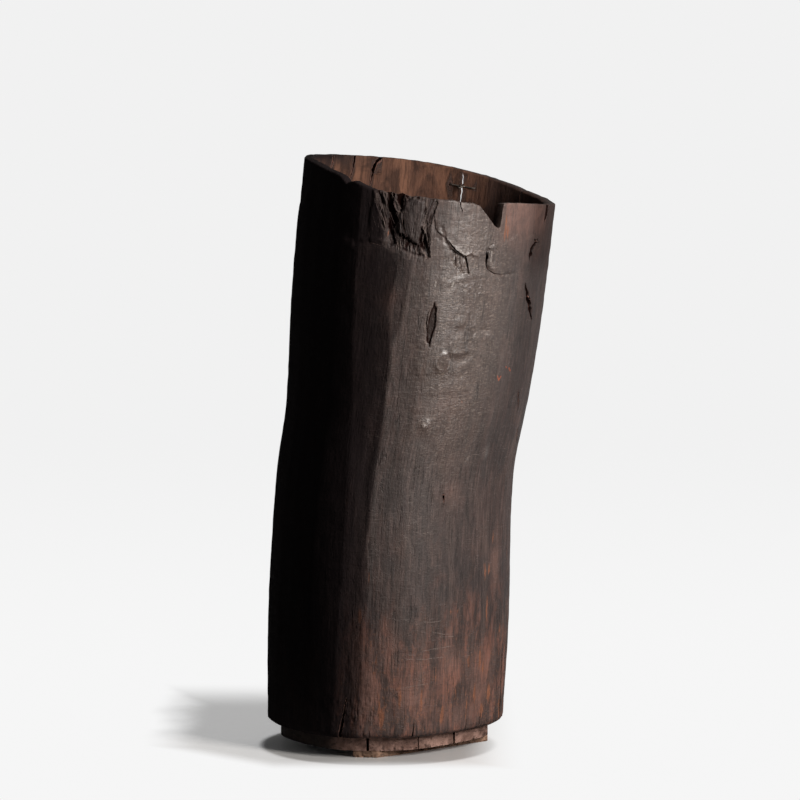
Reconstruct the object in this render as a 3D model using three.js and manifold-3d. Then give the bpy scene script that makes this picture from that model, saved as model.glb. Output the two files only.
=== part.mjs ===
// A vessel made from a hollowed length of tree trunk.
// The trunk is open at both ends. Its foot is closed by short boards let into the hollow,
// with a sole under them, and a crack at the mouth is held by a twisted wire.
// Millimetres, +Z up, +X to the right of the front view, -Y towards the viewer.
// The origin lies on the underside, below the middle of the foot.
// Angles are degrees round the stem: 0 is right, 90 is the back, -90 is the front.

import * as THREE from 'three';
import { mergeVertices } from 'three/addons/utils/BufferGeometryUtils.js';
import Module from 'manifold-3d';

const wasm = await Module();
wasm.setup();

// The stem of the tree, before it is hollowed
const FOOT_WIDTH = 255;
const MOUTH_WIDTH = 277;
const DEPTH_RATIO = 0.955;
const WIDENING_HEIGHT = 400;
const WIDENING_LENGTH = 90;
const SWELL = { proud: 3.4, height: 140, length: 70 };

// Its heart line: it leans to the right, and leans more above the knee
const FOOT_OFFSET = 4.5;
const LEAN_BELOW = 0.031;
const LEAN_ABOVE = 0.098;
const KNEE_HEIGHT = 326;
const KNEE_LENGTH = 46;
const KNEE_JOG = 10.6;
const KNEE_JOG_LENGTH = 41;

// Long faces where the stem is flatter than round
const FLATS = [
  { at: -42, spread: 26, depth: 18 },
  { at: -152, spread: 17, depth: 8 },
  { at: 118, spread: 24, depth: 9 },
];

// The sawn mouth: its middle height, its slope up to the left, and its unevenness
const MOUTH_HEIGHT = 593;
const MOUTH_RISE = 24.9;
const MOUTH_RISE_AT = 157;
const MOUTH_WAVES = [
  { turns: 2, height: 1.5, at: -50 },
  { turns: 3, height: 2.6, at: -44 },
];

// Wood missing from the rim at the front: angle, and depth below the rim
const RIM_NOTCH = { at: -133, depth: 11 };
const DEEP_BREAK = { at: -50, depth: 22 };
const SPLINTERS = [
  { at: -116, width: 9, length: 22, lean: 1, depth: 4 },
  { at: -110, width: 12, length: 32, lean: 2, depth: 8 },
  { at: -104, width: 9, length: 25, lean: -2, depth: 7 },
  { at: -97, width: 13, length: 20, lean: 3, depth: 4 },
  { at: -89, width: 10, length: 14, lean: 0, depth: 3 },
];

// Scars on the outside: angle, distance below the rim, and depth into the wall
const SCAR = { at: -96, down: 48, depth: 3 };
const PEEL = { at: -71.5, down: 63, depth: 3.5 };
const HOOK = { at: -49, down: 60, depth: 3 };
const FLAKE = { at: -29, down: 0, depth: 2 };
const BARK_POCKET = { at: -83.5, down: 130, width: 6.5, length: 44, depth: 9 };

// Knots, by their height above the knee
const KNOTS = [
  { at: -74.5, above: 91, width: 21, height: 34, proud: 3 },
  { at: -80.5, above: 28, width: 16, height: 17, proud: 1.8 },
];

// Drying cracks: down the outside from the rim, up from the foot, and down the hollow
const OUTSIDE_CRACK = { at: -13.5, width: 2.2, length: 20, lean: 1, depth: 6 };
const FOOT_CRACKS = [
  { at: -113, width: 4.5, length: 38, lean: -1, depth: 12 },
  { at: -76, width: 1.8, length: 15, lean: -1, depth: 9 },
  { at: -39, width: 1.8, length: 14, lean: -1, depth: 9 },
  { at: -8, width: 2.4, length: 66, lean: -1, depth: 9 },
];
const HOLLOW_CRACKS = [
  { at: 119.5, width: 3, length: 27, lean: 6, depth: 7 },
  { at: 135, width: 1.8, length: 26, lean: 2, depth: 5 },
  { at: 149.5, width: 1.6, length: 15, lean: 2, depth: 5 },
];

// The wall that the hollowing leaves
const WALL_AT_FOOT = 14;
const WALL_AT_MOUTH = 12.5;
const RIM_ROUND = 3;
const FOOT_CHAMFER = 7;

// The boards that close the foot, and the sole under them
const SOLE_THICKNESS = 7;
const BOARD_SHOWN = 15;
const BOARD_LET_IN = [24, 22.5, 25, 23];
const BOARD_SHARES = [0.42, 0.237, 0.168];
const BOARD_JOINTS = [2.6, 0.8, 1.8];
const BOARD_SETBACKS = [0.4, 1.1, 0.6, 1.4];
const BOARD_WEAR = { at: -40, spread: 38, depth: 7, height: 7 };
const SOLE_LEFT_SHARE = 0.35;
const SOLE_SETBACK = 1.5;
const SOLE_EDGE = { at: -49, setback: 20 };

// The wire that ties the crack in the back wall
const CRACK_AT = 72;
const CRACK_DOWN = 5;
const CRACK_LENGTH = 34;
const CRACK_WIDTH = 2.6;
const WIRE_DIAMETER = 1.6;
const WIRE_DOWN = 17;
const WIRE_SPAN = 27;
const WIRE_TILT = 0.16;
const WIRE_BEND = 2.3;
const TWIST_LENGTH = 9;
const TWIST_TURNS = 1.5;
const STRAND_GAP = 0.4;
const HOLE_CLEARANCE = 0.7;

// Gap between pieces that touch
const GAP = 0.3;

// How finely the round forms are cut into facets
const COLUMNS = 72;
const OUTSIDE_ROWS = 30;
const INSIDE_ROWS = 12;
const WIRE_STEPS = 90;
const WIRE_SIDES = 8;
const TWIST_POINTS = 12;

const FOOT_HEIGHT = SOLE_THICKNESS + BOARD_SHOWN;
const BODY_TOP = MOUTH_HEIGHT + MOUTH_RISE;
const WIRE_LIFT = WIRE_DIAMETER / 2 + 2 * GAP;
const OVERCUT = 12;

const materials = {
  trunk: new THREE.MeshStandardMaterial({ color: 0x6a564e, roughness: 0.62, metalness: 0 }),
  board: new THREE.MeshStandardMaterial({ color: 0x6f4c38, roughness: 0.8, metalness: 0 }),
  sole: new THREE.MeshStandardMaterial({ color: 0x4a3428, roughness: 0.85, metalness: 0 }),
  wire: new THREE.MeshStandardMaterial({ color: 0x8c857d, roughness: 0.45, metalness: 0.9 }),
};

// Small helpers for angles and blends

function radians(degrees) {
  return THREE.MathUtils.degToRad(degrees);
}

function angleBetween(a, b) {
  return THREE.MathUtils.euclideanModulo(a - b + 180, 360) - 180;
}

function hill(distance, spread) {
  return Math.exp(-0.5 * (distance / spread) ** 2);
}

function step(distance, length) {
  return 0.5 + 0.5 * Math.tanh(distance / length);
}

// The form of the stem

function heartX(z) {
  const aboveKnee = z - KNEE_HEIGHT;
  const bend = KNEE_LENGTH * Math.log1p(Math.exp(aboveKnee / KNEE_LENGTH));
  return FOOT_OFFSET + LEAN_BELOW * z + (LEAN_ABOVE - LEAN_BELOW) * bend
    + KNEE_JOG * step(aboveKnee, KNEE_JOG_LENGTH);
}

function halfWidth(z) {
  const widening = step(z - WIDENING_HEIGHT, WIDENING_LENGTH);
  const swell = SWELL.proud * hill(z - SWELL.height, SWELL.length);
  return (FOOT_WIDTH + (MOUTH_WIDTH - FOOT_WIDTH) * widening) / 2 + swell;
}

function stemRadius(angle, z) {
  const across = Math.cos(radians(angle)) / halfWidth(z);
  const along = Math.sin(radians(angle)) / (halfWidth(z) * DEPTH_RATIO);
  let radius = 1 / Math.hypot(across, along);
  for (const flat of FLATS) {
    radius -= flat.depth * hill(angleBetween(angle, flat.at), flat.spread);
  }
  return radius;
}

function wallThickness(z) {
  const up = THREE.MathUtils.clamp((z - FOOT_HEIGHT) / (BODY_TOP - FOOT_HEIGHT), 0, 1);
  return THREE.MathUtils.lerp(WALL_AT_FOOT, WALL_AT_MOUTH, up);
}

function hollowRadius(angle, z) {
  return stemRadius(angle, z) - wallThickness(z);
}

function mouthHeight(angle) {
  let height = MOUTH_HEIGHT + MOUTH_RISE * Math.cos(radians(angle - MOUTH_RISE_AT));
  for (const wave of MOUTH_WAVES) {
    height += wave.height * Math.cos(radians(wave.turns * (angle - wave.at)));
  }
  return height;
}

function stemPoint(angle, radius, z) {
  return new THREE.Vector3(
    heartX(z) + radius * Math.cos(radians(angle)),
    radius * Math.sin(radians(angle)),
    z,
  );
}

// Meshes and solids

function gridIndex(rows, columns, closedRows) {
  const index = [];
  const lastRow = closedRows ? rows : rows - 1;
  for (let row = 0; row < lastRow; row += 1) {
    for (let column = 0; column < columns; column += 1) {
      const a = row * columns + column;
      const b = row * columns + (column + 1) % columns;
      const c = ((row + 1) % rows) * columns + (column + 1) % columns;
      const d = ((row + 1) % rows) * columns + column;
      index.push(a, b, c, a, c, d);
    }
  }
  return index;
}

function geometryFrom(points, index) {
  const geometry = new THREE.BufferGeometry().setFromPoints(points);
  geometry.setIndex(index);
  return geometry;
}

// A closed band of rings, such as a wall that is swept round the stem
function ringGeometry(rings) {
  return geometryFrom(rings.flat(), gridIndex(rings.length, rings[0].length, true));
}

// A stack of rings closed by a flat face at each end
function stackGeometry(rings) {
  const columns = rings[0].length;
  const points = rings.flat();
  const index = gridIndex(rings.length, columns, false);
  const bottom = points.length;
  const top = bottom + 1;
  points.push(middleOf(rings[0]), middleOf(rings[rings.length - 1]));
  const lastRing = (rings.length - 1) * columns;
  for (let column = 0; column < columns; column += 1) {
    const next = (column + 1) % columns;
    index.push(bottom, next, column);
    index.push(top, lastRing + column, lastRing + next);
  }
  return geometryFrom(points, index);
}

function middleOf(points) {
  const sum = new THREE.Vector3();
  for (const point of points) {
    sum.add(point);
  }
  return sum.divideScalar(points.length);
}

function toSolid(geometry) {
  const bare = geometry.clone();
  bare.deleteAttribute('normal');
  bare.deleteAttribute('uv');
  const merged = mergeVertices(bare, 1e-4);
  return new wasm.Manifold(new wasm.Mesh({
    numProp: 3,
    vertProperties: new Float32Array(merged.attributes.position.array),
    triVerts: new Uint32Array(merged.index.array),
  }));
}

function toGeometry(solid) {
  const mesh = solid.getMesh();
  const geometry = new THREE.BufferGeometry();
  geometry.setAttribute('position', new THREE.BufferAttribute(new Float32Array(mesh.vertProperties), 3));
  geometry.setIndex(new THREE.BufferAttribute(new Uint32Array(mesh.triVerts), 1));
  geometry.computeVertexNormals();
  return geometry;
}

function namedMesh(name, geometry, material) {
  const mesh = new THREE.Mesh(geometry, material);
  mesh.name = name;
  return mesh;
}

// Cutters that reach into the wall along a radius.
// A shape is drawn with x round the stem and y upwards, both in millimetres.

function radialCutter(shape, angle, z, fromRadius, toRadius) {
  const geometry = new THREE.ExtrudeGeometry(shape, {
    depth: toRadius - fromRadius,
    bevelEnabled: false,
    curveSegments: 8,
  });
  const outwards = new THREE.Vector3(Math.cos(radians(angle)), Math.sin(radians(angle)), 0);
  const round = new THREE.Vector3(-outwards.y, outwards.x, 0);
  const up = new THREE.Vector3(0, 0, 1);
  geometry.applyMatrix4(new THREE.Matrix4().makeBasis(round, up, outwards));
  const start = stemPoint(angle, fromRadius, z);
  geometry.translate(start.x, start.y, start.z);
  return toSolid(geometry);
}

function throughCutter(shape, angle, z) {
  const from = hollowRadius(angle, z) - OVERCUT;
  const to = stemRadius(angle, z) + OVERCUT;
  return radialCutter(shape, angle, z, from, to);
}

// A cutter that runs from front to back through the wall, so that light shows through a narrow gap
function frontToBackCutter(shape, angle, z) {
  const geometry = new THREE.ExtrudeGeometry(shape, {
    depth: WALL_AT_FOOT + 2 * OVERCUT,
    bevelEnabled: false,
    curveSegments: 8,
  });
  geometry.rotateX(Math.PI / 2);
  const start = stemPoint(angle, hollowRadius(angle, z), z);
  geometry.translate(start.x, start.y + WALL_AT_FOOT + OVERCUT, start.z);
  return toSolid(geometry);
}

function outsideCutter(shape, angle, z, depth) {
  const surface = stemRadius(angle, z);
  return radialCutter(shape, angle, z, surface - depth, surface + OVERCUT);
}

function insideCutter(shape, angle, z, depth) {
  const surface = hollowRadius(angle, z);
  return radialCutter(shape, angle, z, surface - OVERCUT, surface + depth);
}

// A low rounded knot on the outside
function knotSolid({ at, above, width, height, proud }) {
  const z = KNEE_HEIGHT + above;
  const geometry = new THREE.SphereGeometry(1, 14, 8);
  geometry.rotateX(Math.PI / 2);
  geometry.scale(proud, width / 2, height / 2);
  geometry.rotateZ(radians(at));
  const centre = stemPoint(at, stemRadius(at, z), z);
  geometry.translate(centre.x, centre.y, centre.z);
  return toSolid(geometry);
}

function polygon(corners) {
  return new THREE.Shape(corners.map(([x, y]) => new THREE.Vector2(x, y)));
}

// A pointed gap, widest in the middle of its length
function almond(width, length) {
  const shape = new THREE.Shape();
  shape.moveTo(0, -length / 2);
  shape.quadraticCurveTo(width, 0, 0, length / 2);
  shape.quadraticCurveTo(-width, 0, 0, -length / 2);
  return shape;
}

// The hollow left by a splinter torn off the rim: ragged sides that run to a point along the grain
function splinter(width, length, lean) {
  return polygon([
    [-width * 0.5, OVERCUT],
    [-width * 0.62, -length * 0.3],
    [-width * 0.2 + lean * 0.5, -length * 0.66],
    [lean, -length],
    [width * 0.34 + lean * 0.5, -length * 0.55],
    [width * 0.48, -length * 0.2],
    [width * 0.5, OVERCUT],
  ]);
}

// A crack that is open at the top and runs out downwards, with one sideways jog
function crack(width, length, lean) {
  return polygon([
    [-width / 2, 0],
    [-width * 0.35 + lean * 0.3, -length * 0.45],
    [lean, -length],
    [width * 0.35 + lean * 0.3, -length * 0.42],
    [width / 2, 0],
  ]);
}

// The wall of the trunk as one closed band: up the outside, over the rim, down the hollow
function trunkRings() {
  const rings = [];
  const addRing = (radiusAt, heightAt) => {
    const ring = [];
    for (let column = 0; column < COLUMNS; column += 1) {
      const angle = (column * 360) / COLUMNS;
      const z = heightAt(angle);
      ring.push(stemPoint(angle, radiusAt(angle, z), z));
    }
    rings.push(ring);
  };
  const { lerp } = THREE.MathUtils;
  const shoulder = FOOT_HEIGHT + FOOT_CHAMFER;
  const lip = (angle) => mouthHeight(angle) - RIM_ROUND;
  const edge = 1 - Math.SQRT1_2;
  const rounding = RIM_ROUND * edge;

  addRing((angle, z) => stemRadius(angle, z) - FOOT_CHAMFER, () => FOOT_HEIGHT);
  addRing((angle, z) => stemRadius(angle, z) - FOOT_CHAMFER * edge, () => FOOT_HEIGHT + FOOT_CHAMFER * edge);
  for (let row = 0; row <= OUTSIDE_ROWS; row += 1) {
    addRing(stemRadius, (angle) => lerp(shoulder, lip(angle), row / OUTSIDE_ROWS));
  }
  addRing((angle, z) => stemRadius(angle, z) - rounding, (angle) => mouthHeight(angle) - rounding);
  addRing((angle, z) => stemRadius(angle, z) - RIM_ROUND, mouthHeight);
  addRing((angle, z) => hollowRadius(angle, z) + RIM_ROUND, mouthHeight);
  for (let row = INSIDE_ROWS; row >= 0; row -= 1) {
    addRing(hollowRadius, (angle) => lerp(FOOT_HEIGHT, lip(angle), row / INSIDE_ROWS));
  }
  return rings;
}

// Pieces missing from the rim, front left and front right
function rimBreaks() {
  const { depth: low } = RIM_NOTCH;
  const { depth: deep } = DEEP_BREAK;
  const above = OVERCUT + MOUTH_RISE / 2;
  const notch = polygon([[-7, above], [-6, -3], [0, -low], [6, -2], [13, -1], [15, above]]);
  const deepBreak = polygon([
    [-36, above],
    [-33, 1],
    [-21, -deep * 0.1],
    [-12, -deep * 0.45],
    [-4, -deep],
    [1.5, -deep * 0.9],
    [3, above],
  ]);
  return [
    throughCutter(notch, RIM_NOTCH.at, mouthHeight(RIM_NOTCH.at)),
    throughCutter(deepBreak, DEEP_BREAK.at, mouthHeight(DEEP_BREAK.at)),
  ];
}

// Torn and flaked wood below the front of the rim
function tornWood() {
  const cutBelowRim = (shape, { at, down, depth }) => (
    outsideCutter(shape, at, mouthHeight(at) - down, depth)
  );
  const torn = SPLINTERS.map(({ at, width, length, lean, depth }) => (
    cutBelowRim(splinter(width, length, lean), { at, down: 0, depth })
  ));
  const scar = polygon([[-17, 12], [-14, -13], [-3, -22], [10, -15], [19, -3], [15, 15], [2, 24]]);
  const peel = polygon([[-7, 5], [-7, -7], [1, -10], [7, -5], [7, 4], [0, 8]]);
  const hook = polygon([[-11, 13], [-10, -3], [-1, -10], [27, -14], [27, -10], [8, -4], [-4, 3], [-6, 14]]);
  const flake = polygon([[-30, 40], [-29, -30], [-8, -36], [20, -33], [33, -26], [34, 40]]);
  return [
    ...torn,
    cutBelowRim(scar, SCAR),
    cutBelowRim(peel, PEEL),
    cutBelowRim(hook, HOOK),
    cutBelowRim(flake, FLAKE),
  ];
}

// Cracks and the long bark pocket on the outside
function outsideCracks() {
  const { at, down, width, length, depth } = BARK_POCKET;
  const pocket = outsideCutter(almond(width, length), at, mouthHeight(at) - down, depth);
  const rimCrack = outsideCutter(
    crack(OUTSIDE_CRACK.width, OUTSIDE_CRACK.length, OUTSIDE_CRACK.lean),
    OUTSIDE_CRACK.at,
    mouthHeight(OUTSIDE_CRACK.at) + RIM_ROUND,
    OUTSIDE_CRACK.depth,
  );
  const footCracks = FOOT_CRACKS.map((split) => {
    const downwards = crack(split.width, split.length, split.lean).getPoints();
    const upwards = polygon(downwards.map(({ x, y }) => [x, -y - GAP]));
    return outsideCutter(upwards, split.at, FOOT_HEIGHT, split.depth);
  });
  return [pocket, rimCrack, ...footCracks];
}

// Drying cracks that run down the hollow from the rim
function hollowCracks() {
  return HOLLOW_CRACKS.map(({ at, width, length, lean, depth }) => (
    insideCutter(crack(width, length, lean), at, mouthHeight(at) + GAP, depth)
  ));
}

// The crack that the wire ties, and the two holes that the wire goes through.
// The wire climbs to the left: the tilt is how far for each millimetre round the hollow.

function wireHeight(angle = CRACK_AT) {
  const middle = mouthHeight(CRACK_AT) - WIRE_DOWN;
  return middle + WIRE_TILT * hollowRadius(CRACK_AT, middle) * radians(angle - CRACK_AT);
}

// The angle that a length takes up round the hollow, beside the crack
function roundCrack(length) {
  return THREE.MathUtils.radToDeg(length / hollowRadius(CRACK_AT, wireHeight()));
}

function wireHoleAngles() {
  const half = roundCrack(WIRE_SPAN / 2);
  return [CRACK_AT - half, CRACK_AT + half];
}

function tiedCrack() {
  const shape = almond(CRACK_WIDTH, CRACK_LENGTH);
  const middle = mouthHeight(CRACK_AT) - CRACK_DOWN - CRACK_LENGTH / 2;
  const hole = new THREE.Shape().absarc(0, 0, WIRE_DIAMETER / 2 + HOLE_CLEARANCE, 0, 2 * Math.PI);
  const holes = wireHoleAngles().map((angle) => throughCutter(hole, angle, wireHeight(angle)));
  return [frontToBackCutter(shape, CRACK_AT, middle), ...holes];
}

function trunkShell() {
  let solid = toSolid(ringGeometry(trunkRings()));
  for (const knot of KNOTS) {
    solid = solid.add(knotSolid(knot));
  }
  const cuts = [...rimBreaks(), ...tornWood(), ...outsideCracks(), ...hollowCracks(), ...tiedCrack()];
  for (const cut of cuts) {
    solid = solid.subtract(cut);
  }
  return namedMesh('trunk_shell', toGeometry(solid), materials.trunk);
}

// The closing boards: one plug that follows the hollow, parted into boards side by side

function plugRing(z, setback) {
  const inTrunk = Math.max(z, FOOT_HEIGHT);
  const ring = [];
  for (let column = 0; column < COLUMNS; column += 1) {
    const angle = (column * 360) / COLUMNS;
    const point = stemPoint(angle, hollowRadius(angle, inTrunk) - GAP - setback(angle), inTrunk);
    ring.push(point.setZ(z));
  }
  return ring;
}

function spanOf(ring) {
  const xs = ring.map((point) => point.x);
  return { left: Math.min(...xs), right: Math.max(...xs) };
}

function slab(left, right, bottom, top) {
  const depth = 2 * halfWidth(FOOT_HEIGHT);
  const geometry = new THREE.BoxGeometry(right - left, depth, top - bottom);
  geometry.translate((left + right) / 2, 0, (bottom + top) / 2);
  return toSolid(geometry);
}

// One board of the plug, from one joint to the next, with its own setback, wear and height
function baseBoard(board, left, right) {
  const top = FOOT_HEIGHT + BOARD_LET_IN[board];
  const flush = () => 0;
  const shown = () => BOARD_SETBACKS[board];
  const worn = (angle) => (
    BOARD_SETBACKS[board] + BOARD_WEAR.depth * hill(angleBetween(angle, BOARD_WEAR.at), BOARD_WEAR.spread)
  );
  const plug = stackGeometry([
    plugRing(SOLE_THICKNESS, worn),
    plugRing(SOLE_THICKNESS + BOARD_WEAR.height, shown),
    plugRing(FOOT_HEIGHT - BOARD_SETBACKS[board], shown),
    plugRing(FOOT_HEIGHT, flush),
    plugRing(top, flush),
  ]);
  const solid = toSolid(plug).intersect(slab(left, right, 0, top + OVERCUT));
  return namedMesh(`base_board_${board + 1}`, toGeometry(solid), materials.board);
}

function baseBoards() {
  const { left, right } = spanOf(plugRing(FOOT_HEIGHT, () => 0));
  const edges = [left - OVERCUT];
  let joint = left;
  BOARD_JOINTS.forEach((gap, board) => {
    joint += (right - left) * BOARD_SHARES[board];
    edges.push(joint - gap / 2, joint + gap / 2);
  });
  edges.push(right + OVERCUT);
  return BOARD_LET_IN.map((_, board) => baseBoard(board, edges[2 * board], edges[2 * board + 1]));
}

// The sole: a thinner slab under the boards, sawn off on the left and across the front right
function baseSole() {
  const { left, right } = spanOf(plugRing(FOOT_HEIGHT, () => 0));
  const cutAt = left + (right - left) * SOLE_LEFT_SHARE;
  const top = SOLE_THICKNESS - GAP;
  const setback = () => SOLE_SETBACK;
  const outline = stackGeometry([plugRing(0, setback), plugRing(top, setback)]);
  const solid = toSolid(outline)
    .intersect(slab(cutAt, right + OVERCUT, -OVERCUT, top + OVERCUT))
    .intersect(soleEdge());
  return namedMesh('base_sole', toGeometry(solid), materials.sole);
}

// Everything behind the slanting edge of the sole
function soleEdge() {
  const size = 2 * FOOT_WIDTH;
  const outwards = hollowRadius(SOLE_EDGE.at, FOOT_HEIGHT) - SOLE_EDGE.setback;
  const geometry = new THREE.BoxGeometry(size, size, size);
  geometry.translate(outwards - size / 2, 0, 0);
  geometry.rotateZ(radians(SOLE_EDGE.at));
  geometry.translate(heartX(FOOT_HEIGHT), 0, 0);
  return toSolid(geometry);
}

// The wire goes through both holes and along the outside.
// Its two ends meet over the crack inside the hollow, where they are twisted together.

function wireInside(angle) {
  const z = wireHeight(angle);
  return stemPoint(angle, hollowRadius(angle, z) - WIRE_LIFT, z);
}

function wireOutside(angle) {
  const z = wireHeight(angle);
  return stemPoint(angle, stemRadius(angle, z) + WIRE_LIFT, z);
}

function wireRun(pointAt, from, to) {
  const points = [];
  for (const share of [0, 0.25, 0.5, 0.75, 1]) {
    points.push(pointAt(THREE.MathUtils.lerp(from, to, share)));
  }
  return points;
}

function wireThroughHole(angle) {
  const points = [];
  for (const share of [0.06, 0.3, 0.7, 0.94]) {
    points.push(wireInside(angle).lerp(wireOutside(angle), share));
  }
  return points;
}

// One of the two strands of the twist, from the wall inwards
function twistStrand(startTurn) {
  const inwards = stemPoint(CRACK_AT, -1, 0).sub(stemPoint(CRACK_AT, 0, 0));
  const round = new THREE.Vector3(inwards.y, -inwards.x, 0);
  const spread = (WIRE_DIAMETER + STRAND_GAP) / 2;
  const points = [];
  for (let i = 0; i <= TWIST_POINTS; i += 1) {
    const share = i / TWIST_POINTS;
    const turn = 2 * Math.PI * (startTurn + share * TWIST_TURNS);
    const point = wireInside(CRACK_AT).addScaledVector(inwards, WIRE_BEND / 2 + share * TWIST_LENGTH);
    point.addScaledVector(round, spread * Math.cos(turn));
    point.z += spread * Math.sin(turn);
    points.push(point);
  }
  return points;
}

function wireTie() {
  const [rightHole, leftHole] = wireHoleAngles();
  const bend = roundCrack(WIRE_BEND);
  const twist = roundCrack(WIRE_DIAMETER + WIRE_BEND / 2);
  const route = [
    ...twistStrand(0.5).reverse(),
    ...wireRun(wireInside, CRACK_AT - twist, rightHole + bend),
    ...wireThroughHole(rightHole),
    ...wireRun(wireOutside, rightHole + bend, leftHole - bend),
    ...wireThroughHole(leftHole).reverse(),
    ...wireRun(wireInside, leftHole - bend, CRACK_AT + twist),
    ...twistStrand(0),
  ];
  const section = new THREE.Shape().absarc(0, 0, WIRE_DIAMETER / 2, 0, 2 * Math.PI);
  const geometry = new THREE.ExtrudeGeometry(section, {
    steps: WIRE_STEPS,
    curveSegments: WIRE_SIDES / 2,
    extrudePath: new THREE.CatmullRomCurve3(route, false, 'centripetal'),
  });
  return namedMesh('wire_tie', toGeometry(toSolid(geometry)), materials.wire);
}

const vessel = new THREE.Group();
vessel.name = 'tree_trunk_vessel';
vessel.add(trunkShell());
vessel.add(...baseBoards());
vessel.add(baseSole());
vessel.add(wireTie());

export default vessel;
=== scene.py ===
# %% [markdown]
# # A vessel hollowed out of a tree trunk
# The vessel is a leaning length of tree trunk, hollowed to a wall of about 13 mm and open at both ends.
# Four short boards and a sole close its foot, and a twisted wire holds a crack in its back wall.
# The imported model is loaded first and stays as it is. What this lesson makes stands over it, in metres.

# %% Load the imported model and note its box
import math
from functools import partialmethod, reduce
import bmesh
import bpy
import numpy as np
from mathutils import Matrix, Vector, noise


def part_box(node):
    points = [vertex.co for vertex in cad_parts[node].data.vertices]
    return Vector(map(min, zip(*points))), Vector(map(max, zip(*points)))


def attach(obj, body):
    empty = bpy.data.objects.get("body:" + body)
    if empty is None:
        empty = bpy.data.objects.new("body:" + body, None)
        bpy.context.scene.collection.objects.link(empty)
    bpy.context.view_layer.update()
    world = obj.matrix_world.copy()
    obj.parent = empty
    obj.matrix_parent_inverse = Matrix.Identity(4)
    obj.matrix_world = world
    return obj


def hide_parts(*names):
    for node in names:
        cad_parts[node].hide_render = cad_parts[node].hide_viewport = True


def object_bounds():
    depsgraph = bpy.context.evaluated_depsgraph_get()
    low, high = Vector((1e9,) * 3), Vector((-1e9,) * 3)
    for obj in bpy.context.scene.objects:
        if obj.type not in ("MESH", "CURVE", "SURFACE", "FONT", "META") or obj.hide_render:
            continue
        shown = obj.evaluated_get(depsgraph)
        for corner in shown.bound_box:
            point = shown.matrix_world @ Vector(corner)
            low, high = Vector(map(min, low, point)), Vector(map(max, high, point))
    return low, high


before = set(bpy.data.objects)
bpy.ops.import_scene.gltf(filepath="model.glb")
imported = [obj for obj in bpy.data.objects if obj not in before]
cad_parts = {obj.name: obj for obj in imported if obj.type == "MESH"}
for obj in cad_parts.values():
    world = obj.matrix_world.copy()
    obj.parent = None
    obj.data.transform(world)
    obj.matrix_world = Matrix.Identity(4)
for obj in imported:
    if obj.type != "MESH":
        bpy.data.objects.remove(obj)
MM = 0.001
cad_box = [[float(value) for value in corner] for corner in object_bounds()]
print("CAD box in mm:", [[round(value / MM, 1) for value in corner] for corner in cad_box])

# %% [markdown]
# ## The stem as a rule
# A trunk could be sculpted by hand, but then nobody could change its lean or its width afterwards.
# Here the stem is a rule: how far its outside lies from the heart line, at any angle and height.
# Angles are degrees round the stem: 0 is right, 90 the back and -90 the front.
# The rule is written once and used twice. Given numbers, numpy works it out. Given values of a node tree,
# numpy hands np.cos and the like on to the value's own cos, and the same lines add nodes instead.

# %% Sizes of the stem, the wall and the mouth
STEM = {
    "Foot width": 255 * MM,
    "Mouth width": 277 * MM,
    "Depth ratio": 0.955,
    "Widening height": 400 * MM,
    "Widening length": 90 * MM,
    "Swell": 3.4 * MM,
    "Swell height": 140 * MM,
    "Swell length": 70 * MM,
    "Foot offset": 4.5 * MM,
    "Lean below": 0.031,
    "Lean above": 0.098,
    "Knee height": 326 * MM,
    "Knee length": 46 * MM,
    "Knee jog": 10.6 * MM,
    "Jog length": 41 * MM,
}
FLATS = ((-42, 26, 18 * MM), (-152, 17, 8 * MM), (118, 24, 9 * MM))
WALL_AT_FOOT = 14 * MM
WALL_AT_MOUTH = 12.5 * MM
MOUTH_HEIGHT = 593 * MM
MOUTH_RISE = 24.9 * MM
FOOT = 22 * MM
GAP = 0.3 * MM
SHEET_RADIUS = 128 * MM


# %% The rule itself
def hill(distance, spread):
    """1 at no distance, falling off like a bell."""
    return np.exp((distance / spread) ** 2 * -0.5)


def rise(distance, length):
    """0 far below, 1 far above, and half way at no distance."""
    return np.tanh(distance / length) * 0.5 + 0.5


def turn_between(angle, at):
    """The turn from one angle to another, from -180 to 180 degrees."""
    return (angle - at + 180.0) % 360.0 - 180.0


def heart_line(z, stem):
    """How far right the middle of the stem lies at a height."""
    above = z - stem["Knee height"]
    bend = stem["Knee length"] * np.log(np.exp(above / stem["Knee length"]) + 1.0)
    jog = stem["Knee jog"] * rise(above, stem["Jog length"])
    turned = (stem["Lean above"] - stem["Lean below"]) * bend
    return stem["Foot offset"] + stem["Lean below"] * z + turned + jog


def stem_radius(angle, z, stem):
    """From the heart line to the outside of the stem."""
    widening = rise(z - stem["Widening height"], stem["Widening length"])
    width = stem["Foot width"] + (stem["Mouth width"] - stem["Foot width"]) * widening
    half = width * 0.5 + stem["Swell"] * hill(z - stem["Swell height"], stem["Swell length"])
    turn = angle * (math.pi / 180)
    radius = ((np.cos(turn) / half) ** 2 + (np.sin(turn) / (half * stem["Depth ratio"])) ** 2) ** -0.5
    for at, spread, depth in FLATS:
        radius = radius - hill(turn_between(angle, at), spread) * depth
    return radius


def wall_thickness(z):
    """The wall left by the hollowing, a little thinner at the mouth."""
    up = np.clip((z - FOOT) / (MOUTH_HEIGHT + MOUTH_RISE - FOOT), 0, 1)
    return WALL_AT_FOOT + (WALL_AT_MOUTH - WALL_AT_FOOT) * up


def mouth_height(angle):
    """The height of the sawn mouth, which climbs to the left."""
    turn = np.radians(angle)
    waves = 1.5 * MM * np.cos(2 * (turn + np.radians(50))) + 2.6 * MM * np.cos(3 * (turn + np.radians(44)))
    return MOUTH_HEIGHT + MOUTH_RISE * np.cos(turn - np.radians(157)) + waves


print("stem radius in mm at the front, right and left:",
      [round(float(stem_radius(angle, 0.3, STEM)) / MM, 1) for angle in (-90.0, 0.0, 180.0)])

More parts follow.
